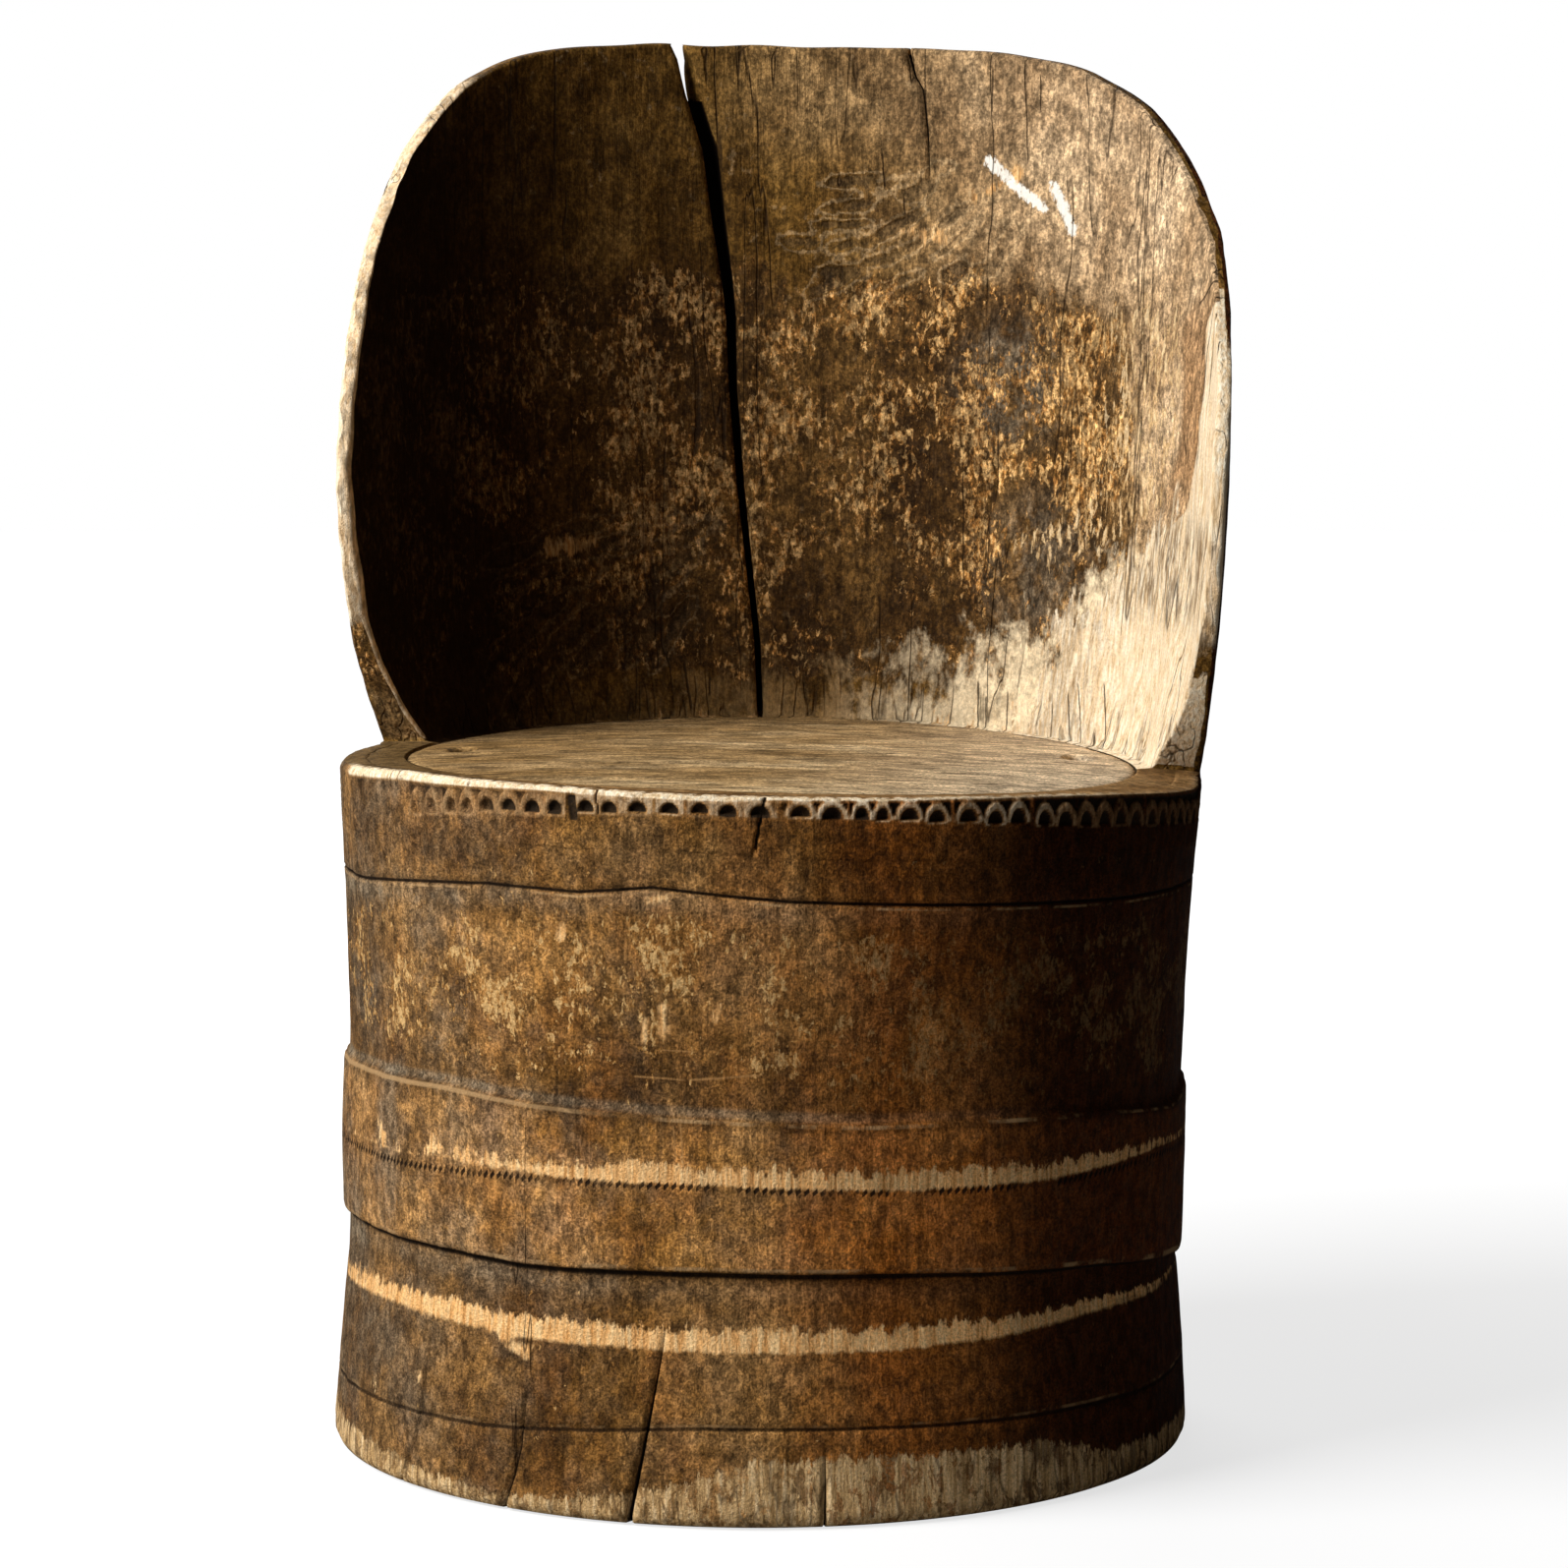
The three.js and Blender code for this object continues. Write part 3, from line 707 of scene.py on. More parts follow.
    def join_rows(self):
        for i in range(self.last):
            skipped = [column for column, first in self.open_from.items() if i >= first]
            self.skin.strip(self.outside[i], self.outside[i + 1], skipped)
            self.skin.strip(self.inside[i + 1], self.inside[i], skipped)
            right = self.right_edge[i:i + 2]
            left = self.left_edge[i:i + 2]
            for low, high in (right, left[::-1]):
                for k in range(len(TOP_SHARES) + 1):
                    self.skin.faces.append((low[k], high[k], high[k + 1], low[k + 1]))

    def close_crown(self, outer, inner, angle, height, crown_wear):
        """The crown's top, and the walls of the slots that open right through it."""
        crown = [self.outside[self.last]]
        for k, part in enumerate(TOP_SHARES, start=1):
            points = log_points(angle, mix(outer, inner, part), height, 0)[1:-1]
            mids = self.skin.row(points, angle[1:-1], height[1:-1], EDGE, crown_wear[1:-1])
            crown.append([self.right_edge[self.last][k]] + mids + [self.left_edge[self.last][k]])
        crown.append(self.inside[self.last])
        for outer_row, inner_row in zip(crown, crown[1:]):
            self.skin.strip(outer_row, inner_row, self.open_from)
        for start, first in self.slots_from.items():
            self.skin.strip(self.outside[first][start:start + 4], self.inside[first][start:start + 4])
            for column, order in ((start, 1), (start + 3, -1)):
                for i in range(first, self.last):
                    tops = [self.outside[i + 1][column], self.inside[i + 1][column]]
                    if i == self.last - 1:
                        tops = [row[column] for row in crown]
                    face = [self.outside[i][column], self.inside[i][column]] + tops[::-1]
                    self.skin.faces.append(tuple(face[::order]))


def hewn_log_skin():
    """The whole log: trunk, hollow, rim and back, as one closed skin."""
    skin = Skin()
    rows = [trunk_row(skin, level) for level in trunk_levels()]
    angles, _ = ring_at(RIM_HEIGHT)
    turn = turn_of(angles)
    recess = covered_share(turn) * STRIP_RECESS + corner_ease(turn)
    rim_radius = RIM_RADIUS + outer_relief(angles, RIM_HEIGHT) - recess
    corner_height = RIM_HEIGHT - covered_share(turn) * STRIP_SINK + line_wander(turn, RIM_HEIGHT)
    corner = log_points(angles, rim_radius, corner_height, 1)
    rows.append(skin.row(corner, angles, RIM_HEIGHT, OUTSIDE))
    skin.rings(rows)
    at_front = np.abs(turn) < FRONT_REACH - 0.001
    mouth, rim_inner = inner_wall(skin, angles, at_front, rows[0])
    top_rows = rim_top(skin, angles, rim_radius, mouth, rows[-1], rim_inner)
    Back(skin, rows[-1], rim_inner, top_rows)
    return skin


def near_path(x, y, path):
    """Distance from points to a line through the given (x, y) places."""
    best = np.full(np.broadcast(x, y).shape, 1e9)
    for (ax, ay), (bx, by) in zip(path, path[1:]):
        along = ((x - ax) * (bx - ax) + (y - ay) * (by - ay)) / ((bx - ax) ** 2 + (by - ay) ** 2)
        along = np.clip(along, 0, 1)
        best = np.minimum(best, np.hypot(x - ax - along * (bx - ax), y - ay - along * (by - ay)))
    return best


# Where the trunk's surface is worn bare: two strips, as (turn, height), and the foot
UPPER_STRIP = [(-110, 184), (-51, 186), (-22, 186), (0, 187.5), (30, 187), (53, 188), (75, 189), (110, 187)]
UPPER_STRIP_WIDTH = [
    (-180, 0), (-75, 0), (-34, 0), (-24, 3), (-16, 7), (-8, 9.5), (30, 10), (60, 9), (80, 4), (100, 0),
]
LOWER_STRIP = [(-110, 100), (110, 101)]
LOWER_STRIP_WIDTH = [
    (-180, 0), (-80, 3), (-60, 7), (-40, 9), (0, 11), (30, 11), (50, 8), (75, 5), (95, 0), (180, 0),
]
BARE_FOOT = [
    (-180, 18), (-110, 26), (-58, 23.6), (-32, 11.7), (-22, 10.7), (-12, 14), (-1, 22.4), (9, 36), (26, 39),
    (49.5, 40), (61, 27), (110, 20), (180, 18),
]

# Where the back's inner face is worn bare, as (degrees round, height)
BARE_BACK_EDGE = [
    (-95, 530), (-64, 512), (-56, 494), (-50, 476), (-46, 460), (-40, 430), (-35, 396), (-30, 370), (60, 370),
]
# The pale dust low on the back: the height that it reaches, and how thick it lies, as (degrees round, ...)
DUST_TOP = [(-50, 486), (-44, 464), (-38, 442), (-32, 434), (-25, 422), (-15, 414), (-5, 408), (40, 402)]
DUST_COVER = [(-42, 1), (-25, 1), (-15, 0.95), (-5, 0.86), (5, 0.66), (20, 0.36), (50, 0.15)]
# Soot and painted shade that darken the back towards its left, the side turned away from the lamp, as (degrees
# round, thickness)
SOOT_AND_SHADE = [(-14, 0), (10, 0.12), (20, 0.38), (30, 0.50), (42, 0.60), (52, 0.86), (66, 1.08)]
# The palest strip along the right wing's edge: how far in it reaches, as (height, degrees round)
BARE_BACK_STRIP = [
    (380, -57), (418, -54.5), (463, -54), (498, -58), (512, -66), (525, -73), (559, -76), (592, -76.5),
    (630, -74.5), (655, -80), (690, -96),
]
SCARS = [[(-21, 723), (-25.8, 708), (-31.2, 695)], [(-32.6, 708), (-34.4, 698), (-36.7, 682)]]
PALE_PATCHES = [
    ([(47, 489), (40, 491)], 3), ([(34, 490), (32, 494)], 3), ([(-14, 676), (-8, 680)], 2),
    ([(-19, 700), (-27, 716)], 2), ([(-39, 452), (-43, 441)], 7),
]

# Small bare patches on the trunk, as (turn, level), with half their width
TRUNK_PATCHES = [
    ([(-51.7, 195), (-50.3, 190)], 2.8), ([(-38.5, 190.5), (-36, 189.5)], 2.8),
    ([(-33, 189.2), (-30, 188)], 2), ([(-27, 188.3), (-26, 187.5)], 3.2),
    ([(-2.7, 274), (-2.4, 261)], 2.6), ([(-5, 266), (-5.2, 256)], 1.8),
    ([(-16.3, 315), (-16.6, 308)], 2.4), ([(-5, 327), (-2.5, 329)], 2), ([(4.4, 277), (4, 270)], 1.8),
    ([(-25.3, 94), (-21, 88)], 2.6), ([(-52.4, 62), (-51.6, 60)], 1.6),
    ([(-40.3, 71), (-39.8, 69)], 1.6),
]

# Scratches on the trunk, as their ends' (turn, level), with half their width
SCRATCHES = [
    ((0.1, 218), (0.6, 191), 0.7), ((-0.8, 216), (-0.3, 193), 0.5), ((-6.4, 238), (0.7, 238), 0.8),
    ((0.7, 238), (10.4, 243), 0.9), ((-2.9, 252.3), (1.9, 252.8), 0.6),
]

# Small cracks of the back, as their ends' (degrees round, height), with half their width
SMALL_CRACKS = [
    ((-21.3, 750), (-21.3, 778), 0.6), ((-29.4, 750), (-29.2, 774), 0.5), ((-4.6, 704), (-4.1, 728), 0.7),
    ((-7.8, 688), (-7.5, 702), 0.7), ((-77.4, 661), (-69.7, 641), 0.9), ((24.2, 389), (25.4, 420), 1.1),
    ((-25.3, 384), (-24.4, 414), 0.8), ((-26.8, 384), (-26.1, 406), 0.6), ((-31.1, 382), (-30.1, 410), 0.6),
    ((-46.1, 382), (-44, 414), 0.8), ((-48.7, 383), (-46, 420), 0.6), ((-52.6, 382), (-51.5, 394), 1.3),
    ((-55.5, 381), (-51.6, 422), 0.7), ((-20.2, 466), (-18.9, 537), 0.6), ((21.1, 397), (21.1, 411), 1.0),
]


def bare_patches(patches, across, level):
    """How far inside (+) or outside (-) each patch, in millimetres, from degrees and a level."""
    return [
        half - near_path(across * MM_PER_DEGREE, level, [(x * MM_PER_DEGREE, y) for x, y in path])
        for path, half in patches
    ]


def trunk_bareness(turn, level):
    """How far inside (+) or outside (-) the bare places of the trunk, in millimetres."""
    upper = follow(UPPER_STRIP_WIDTH, turn) / 2 - np.abs(level - follow(UPPER_STRIP, turn))
    lower = follow(LOWER_STRIP_WIDTH, turn) / 2 - np.abs(level - follow(LOWER_STRIP, turn))
    foot = follow(BARE_FOOT, turn) - level
    return np.maximum.reduce([upper, lower, foot] + bare_patches(TRUNK_PATCHES, turn, level))


def back_bareness(degrees, height):
    """How far inside (+) or outside (-) the bare places of the back's inner face, in millimetres."""
    edge = (follow(BARE_BACK_EDGE, degrees) - height) * 0.22
    return np.maximum.reduce([edge] + bare_patches(PALE_PATCHES, degrees, height))


def spot(degrees, levels, middle, reach):
    """How many times its reach each place is from a spot's middle, both given as (degrees, level)."""
    return np.hypot((degrees - middle[0]) / reach[0], (levels - middle[1]) / reach[1])


def bareness_fields(degrees, levels, turn, inner, edge):
    """How far inside bare and palest wood each place of the log lies, in millimetres."""
    right_edge = edge * (degrees < 0)
    low_edge = right_edge * smooth(470, 425, levels)
    pale_edge = right_edge * smooth(488, 520, levels) * smooth(692, 640, levels)
    bare = np.where(inner, back_bareness(degrees, levels), trunk_bareness(turn, levels))
    bare = np.where(edge, mix(-30, 10, low_edge), bare)
    core = np.where(inner, (follow(BARE_BACK_STRIP, levels) - degrees) * 4, -150)
    core = mix(mix(core, 6, low_edge), 20, pale_edge)
    strokes = [near_path(degrees * 4, levels, [(x * 4, y) for x, y in mark]) for mark in SCARS]
    scar = np.where(inner, 3.1 - np.minimum(*strokes), -30)
    return {"bare": np.clip(bare, -30, 30), "core": np.clip(core, -150, 60), "scar": np.clip(scar, -30, 30)}


def colour_fields(degrees, levels, inner, edge):
    """Where the back is faded, mottled, blue with haze, sooty and dusty, and where painted shade darkens its
    left.
    """
    faded = smooth(10, -65, degrees) * smooth(560, 690, levels)
    faded = np.maximum(faded, 0.8 * smooth(-38, -60, degrees) * smooth(460, 540, levels)) * inner
    faded = faded + 0.16 * inner * smooth(700, 760, levels) * smooth(25, 5, degrees)
    faded = faded + 0.24 * inner * smooth(1.25, 0.4, spot(degrees, levels, (-33, 464), (10, 38)))
    faded = np.maximum(faded, 0.17 * edge * (degrees > 0) * smooth(440, 405, levels))
    upper_haze = smooth(1.25, 0.55, spot(degrees, levels, (-27, 590), (11, 42)))
    lower_haze = 0.8 * smooth(1.2, 0.4, spot(degrees, levels, (-34, 485), (13, 52)))
    soot_and_shade = follow(SOOT_AND_SHADE, degrees) * smooth(850, 700, levels) * inner
    low_soot_and_shade = 0.32 * smooth(-28, -16, degrees) * smooth(640, 570, levels) * inner
    return {
        "faded": faded,
        "mottled": smooth(712, 590, levels) * smooth(-70, -38, degrees) * smooth(385, 440, levels),
        "blue": np.maximum(upper_haze, lower_haze),
        "feather": scoop_marks(degrees, levels) * inner,
        "soot_and_shade": np.maximum(soot_and_shade, low_soot_and_shade),
        "dusty": follow(DUST_COVER, degrees) * inner,
        "dust_depth": np.clip(follow(DUST_TOP, degrees) - levels, -90, 60),
    }


def clean_loose(piece):
    """Points that the open slots left without a face go."""
    edit_all(piece)
    bpy.ops.mesh.delete_loose(use_verts=True, use_edges=True, use_faces=False)
    bpy.ops.object.mode_set(mode="OBJECT")


def edit_all(piece):
    """Opens a piece for editing with all of its points selected."""
    bpy.ops.object.select_all(action="DESELECT")
    bpy.context.view_layer.objects.active = piece
    piece.select_set(True)
    bpy.ops.object.mode_set(mode="EDIT")
    bpy.ops.mesh.select_all(action="SELECT")


def hewn_log():
    """The log as an object, with the fields that its finishes read."""
    skin = hewn_log_skin()
    angles = np.concatenate(skin.angles)
    levels = np.concatenate(skin.levels) / MM
    kinds = np.concatenate(skin.kinds)
    degrees = np.degrees(angles)
    turn = turn_of(angles)
    inner = kinds == INSIDE
    edge = kinds == EDGE
    fields = {
        "level": levels,
        "across": np.where(inner, degrees, turn),
        "worn": np.concatenate(skin.wear),
        "crack": skin.cracks(),
        **bareness_fields(degrees, levels, turn, inner, edge),
        **colour_fields(degrees, levels, inner, edge),
    }
    piece = skin.piece("hewn_log", {OUTSIDE: 0, INSIDE: 1, EDGE: 1, RIM: 2, HOLLOW: 3}, fields)
    clean_loose(piece)
    return piece


# Scalloped rim: the middles of the arches still seen, in degrees from the front
ARCHES = [
    -41.3, -37.9, -34, -30.9, -27.6, -24.1, -20.6, -17.3, -12.9, -9.7, -6, -1.9, 1.9, 5.4, 9.3, 14.3, 18.2,
    21.9, 24.5, 27.9, 31.5, 35.8, 39.7, 43.2, 47.5, 51, 54.6, 57.9, 61.2, 64.8, 68.9, 72.2, 75.5, 78.6, 81.8,
    85.5, 89, 92.6,
]
# Cuts and chips through the rim's edge, as (turn, half width, from this level up to that), and its crack
RIM_CHIPS = [(-47.4, 0.9, 378, 390), (-45.6, 0.8, 378, 390), (-14.8, 3.2, 371, 383), (-11.4, 0.7, 374, 390)]
RIM_CRACK = [(353, 8.5), (372, 9.2), (387, 9.9)]
STRIP_FOOT = 353
STRIP_DEPTH = 14.5


def arch_places():
    """Every arch of the rim: its middle, half its width, its base, its height and how worn away it is."""
    dice = random.Random(4)
    arches = []
    for number, middle in enumerate(ARCHES):
        gaps = [abs(ARCHES[k] - middle) for k in (number - 1, number + 1) if 0 <= k < len(ARCHES)]
        half = min(8.2, min(gaps) * DEGREE / MM / 2 * dice.uniform(0.94, 1.06))
        sag = 8 * ((middle - 15) / 58) ** 2 + 0.8 * follow(RIM_LIFT, middle)
        base = 378.6 - sag + dice.uniform(-0.5, 0.5)
        height = min(386.1 - base, 9 + 3 * smooth(10, 60, abs(middle - 10))) - dice.uniform(0, 0.8)
        gone = 0.7 * float(smooth(-36, -43, middle)) + 0.5 * float(smooth(50, 62, middle))
        arches.append((middle, half, base, height, gone + 0.15 * dice.random()))
    return arches


CUT_ARCHES = arch_places()


def lip_kept(turn):
    """How much of the rim's pale worn edge there is at a turn."""
    return smooth(-68, -61, turn) * (1 - 0.7 * smooth(54, 66, turn))


class Carving:
    """What the carving does at places of the rim: its depth (mm), how freshly cut it is and how dark with grime
    and painted shade.
    """

    def __init__(self, turn, level):
        self.turn = turn
        self.level = level
        self.depth = np.zeros(turn.shape)
        self.fresh = np.zeros(turn.shape)
        self.dirt_and_shade = np.zeros(turn.shape)
        self.nearest = np.full(turn.shape, 9.0)
        self.above = np.full(turn.shape, -99.0)
        for arch in CUT_ARCHES:
            self.cut_arch(*arch)
        self.cut_spandrels_and_lip()
        self.split_and_chip()

    def sink(self, depth, share, dirt_and_shade=1.0):
        """Sinks the surface where the share is above 0, and darkens it there with grime and painted shade."""
        self.depth = np.maximum(self.depth, depth * share)
        self.dirt_and_shade = np.maximum(self.dirt_and_shade, share * dirt_and_shade)

    def cut_arch(self, middle, half, base, height, worn):
        across = (self.turn - middle) * DEGREE / MM
        up = self.level - base
        reach = np.where(up > 0, np.hypot(across / half, up / height), np.hypot(across / half, up / 0.9))
        cut = np.hypot(across / (half * 0.68), (up - height * 0.06) / (height * 0.64))
        self.depth = np.maximum(self.depth, 3.3 * np.where(up > 0, smooth(1.05, 0.62, cut), 0) * (1 - worn))
        grey = 0.25 + 0.75 * smooth(-31, -24, middle)
        # The arch's cut is darkened with grime and painted shade, more towards the right.
        grime_and_shade = smooth(1.02, 0.8, cut) * (up > -0.2) * (1 - worn * 0.6) * grey
        self.dirt_and_shade = np.maximum(self.dirt_and_shade, grime_and_shade)
        ring = smooth(0.62, 0.74, reach) * smooth(1.16, 1.02, reach) * (up > -0.8)
        self.fresh = np.maximum(self.fresh, ring * (1 - worn * 0.8))
        self.nearest = np.minimum(self.nearest, reach)
        self.above = np.where(np.abs(across) < half * 1.05, up, self.above)

    def cut_spandrels_and_lip(self):
        """The sunk places between the arches, and the pale worn edge over them."""
        turn = self.turn
        in_middle = smooth(-24, -12, turn) * smooth(14, 6, turn)
        lip_height = 5.2 - 1.8 * smooth(-40, -18, turn) - 1.6 * smooth(-2, 16, turn)
        spandrel = smooth(1.02, 1.16, self.nearest) * smooth(1.2, 2.4, self.above)
        spandrel = spandrel * smooth(387 - lip_height, 385.6 - lip_height, self.level)
        kept = mix(0.62, 1, smooth(10, 22, turn)) * (1 - 0.7 * smooth(-44, -60, turn))
        self.sink(2.6, spandrel * (1 - in_middle) * kept, 0.95)
        flat = in_middle * smooth(0.9, 1.05, self.nearest) * smooth(0.5, 1.5, self.above)
        lip = smooth(386.4 - lip_height, 387 - lip_height * 0.7, self.level)
        lip = 1.15 * lip * (1 - 0.35 * smooth(10, 50, turn)) * lip_kept(turn)
        under = smooth(0.9, 0.3, np.abs(self.above + 1.1)) * 0.4 * smooth(12, -4, turn)
        rubbed = mix(0.42 + 0.4 * smooth(0, 20, turn) - 0.3 * smooth(42, 58, turn), 0.72, in_middle)
        self.fresh = np.maximum.reduce([self.fresh * rubbed, flat * 0.68, lip, under])

    def split_and_chip(self):
        """The drying crack through the rim, and the cuts and chips in its edge."""
        crack = np.abs(self.turn - follow(RIM_CRACK, self.level)) * DEGREE / MM
        self.sink(3.4, smooth(1.1, 0.3, crack) * smooth(353, 358, self.level))
        for place, half, low, high in RIM_CHIPS:
            slant = np.abs((self.turn - place) * DEGREE / MM + (self.level - 380) * 0.12)
            chip = smooth(half, half * 0.5, slant) * smooth(low - 1, low, self.level)
            chip = chip * smooth(high + 1, high, self.level)
            self.sink(1.8, chip)
            self.fresh = self.fresh * (1 - chip)


def rim_carving():
    """The carved strip of the rim, a thin closed skin over the hewn log's recess."""
    skin = Skin()
    reach = FRONT_REACH - math.degrees(9 * MM / RIM_RADIUS)
    turn = np.linspace(-reach, reach, round(2 * reach * DEGREE / (1.12 * MM)))
    angles = np.radians(turn) + math.pi
    ends = (1 - smooth(9 * MM, 13 * MM, off_wing_foot(turn))) * 1.7 * MM
    # Each row's darkening: grime in the cuts, and painted shade behind the worn arris.
    grime = []
    rows = []

    def add(radius, level, fresh, dirt_and_shade, kind=OUTSIDE):
        points = log_points(angles, radius - ends, level, 1)
        rows.append(skin.row(points, angles, level, kind, fresh))
        grime.append(np.broadcast_to(dirt_and_shade, len(turn)))

    for level in [STRIP_FOOT, STRIP_FOOT + 1.6] + np.arange(356, 386, 1.15).tolist() + [386.2]:
        height = level * MM
        carved = Carving(turn, np.full(turn.shape, float(level)))
        dive = (1 - smooth(STRIP_FOOT, 355.5, level)) * 3 * MM
        eased = corner_ease(turn) * smooth(383, 387, level)
        rounded = smooth(385.4, 387, level) * 0.8 * MM
        uneven = waves(angles, height, 77, 5 * MM, 5 * MM) * 0.16 * MM
        surface = RIM_RADIUS - follow(TRUNK_PROFILE, level) * MM + outer_relief(angles, height) + uneven
        surface = surface - eased - dive - rounded - carved.depth * MM
        add(surface, height + line_wander(turn, height), carved.fresh, carved.dirt_and_shade)
    outer_radius = RIM_RADIUS + outer_relief(angles, RIM_HEIGHT) - corner_ease(turn)
    chips = waves(angles, 0.3, 78, 9 * MM, 1)
    for inset in [1.6, 2.8, 4.2, 5.6, 7, 8.5, 10, 11.5, 13, STRIP_DEPTH]:
        worn = 0.5 * smooth(4, 1, inset) + 0.3 * smooth(0.2, 0.9, chips) * smooth(8, 3, inset)
        dive = 2.2 * smooth(12.4, STRIP_DEPTH, inset)
        uneven = waves(angles, inset * MM, 79, 6 * MM, 6 * MM) * 0.1
        lift = line_wander(turn, RIM_HEIGHT) * (1 - inset * MM / RIM_WALL)
        height = RIM_HEIGHT + (uneven - worn - dive) * MM + lift
        pale = smooth(4.4, 1.8, inset + 1.4 * chips) * (1 - 0.5 * smooth(15, 60, turn)) * lip_kept(turn)
        # Painted shade: a dark band 5.5 to 13 mm in from the outer edge, between turns -66 and 24, where the
        # worn arris shades the rim's top.
        dirt_and_shade = smooth(5.5, 7, inset) * smooth(13, 11, inset) * smooth(-66, -56, turn) * smooth(24, 8, turn)
        add(outer_radius - inset * MM, height, pale, dirt_and_shade, RIM)
    add(outer_radius - 9 * MM, RIM_HEIGHT - 10 * MM, 0, 0, HOLLOW)
    add(outer_radius - 8 * MM, (STRIP_FOOT + 3) * MM, 0, 0, HOLLOW)
    for lower, upper in zip(rows, rows[1:] + rows[:1]):
        skin.strip(lower, upper)
    skin.faces.append(tuple(row[0] for row in rows))
    skin.faces.append(tuple(row[-1] for row in rows[::-1]))
    fields = {
        "level": np.concatenate(skin.levels) / MM,
        "fresh": np.concatenate(skin.wear),
        "dirt_and_shade": np.concatenate(grime),
    }
    return skin.piece("rim_carving", {OUTSIDE: 0, RIM: 1, HOLLOW: 0}, fields)


def seat_copy():
    """A copy of the seat's solid, with even small faces."""
    source = bpy.data.objects["seat_board"]
    seat = source.copy()
    seat.data = source.data.copy()
    seat.name = "worn_seat"
    bpy.context.scene.collection.objects.link(seat)
    edit_all(seat)
    bpy.ops.mesh.remove_doubles(threshold=0.00002)
    bpy.ops.object.mode_set(mode="OBJECT")
    remesh = seat.modifiers.new("even_faces", "REMESH")
    remesh.mode = "VOXEL"
    remesh.voxel_size = 2.6 * MM
    remesh.adaptivity = 0
    bpy.ops.object.modifier_apply(modifier="even_faces")
    bpy.ops.object.shade_smooth()
    return seat


def grain_wear(x, y):
    """How far the seat's top is worn down along its grain, in millimetres."""
    along = math.cos(SEAT_TURN) * x + math.sin(SEAT_TURN) * y
    beside = math.cos(SEAT_TURN) * y - math.sin(SEAT_TURN) * x
    dice = random.Random(9)
    uneven = np.zeros(len(x))
    for _ in range(9):
        length = dice.uniform(70, 200) * MM
        width = dice.uniform(9, 40) * MM
        swing = np.sin(2 * math.pi * along / length + dice.uniform(0, 6)) * 0.8
        ripple = np.sin(2 * math.pi * beside / width + swing + dice.uniform(0, 6))
        uneven += ripple * dice.uniform(0.08, 0.16)
    return uneven


def worn_seat():
    """The seat lid: a copy of its solid with a crisp upper edge and its top worn uneven along the grain."""
    seat = seat_copy()
    mesh = seat.data
    places = np.empty(len(mesh.vertices) * 3)
    mesh.vertices.foreach_get("co", places)
    places = places.reshape(-1, 3)
    cos, sin = math.cos(LOG_LEAN), math.sin(LOG_LEAN)
    across = (places[:, 0] - AXIS_X) * cos - places[:, 2] * sin
    ahead = places[:, 1] - AXIS_Y
    height = places[:, 2] * cos + (places[:, 0] - AXIS_X) * sin
    radius = np.hypot(across, ahead)
    face = np.max(height) - ARCH_DROP * (across / RIM_RADIUS) ** 2
    near_top = smooth(face - 9 * MM, face - 3 * MM, height)
    inside = smooth(SEAT_RADIUS, SEAT_RADIUS - 12 * MM, radius)
    height = height + (0.45 - grain_wear(places[:, 0], places[:, 1]) * inside) * MM * near_top
    crisp = smooth(face - 4.5 * MM, face - 2.5 * MM, height)
    crisp = crisp * smooth(SEAT_RADIUS - 4.5 * MM, SEAT_RADIUS - 2 * MM, radius)
    grown = mix(radius, SEAT_RADIUS + 1.1 * MM, crisp) / np.maximum(radius, MM)
    places[:, 0] = AXIS_X + across * grown * cos + height * sin
    places[:, 1] = AXIS_Y + ahead * grown
    places[:, 2] = height * cos - across * grown * sin
    mesh.vertices.foreach_set("co", places.ravel())
    mesh.update()
    return seat


def connect(tree, socket, value):
    """Feeds a node's socket from another node, or sets it to a number or colour."""
    if isinstance(value, Value):
        tree.links.new(value.socket, socket)
    elif socket.type == "RGBA":
        socket.default_value = (*value, 1)
    else:
        socket.default_value = value


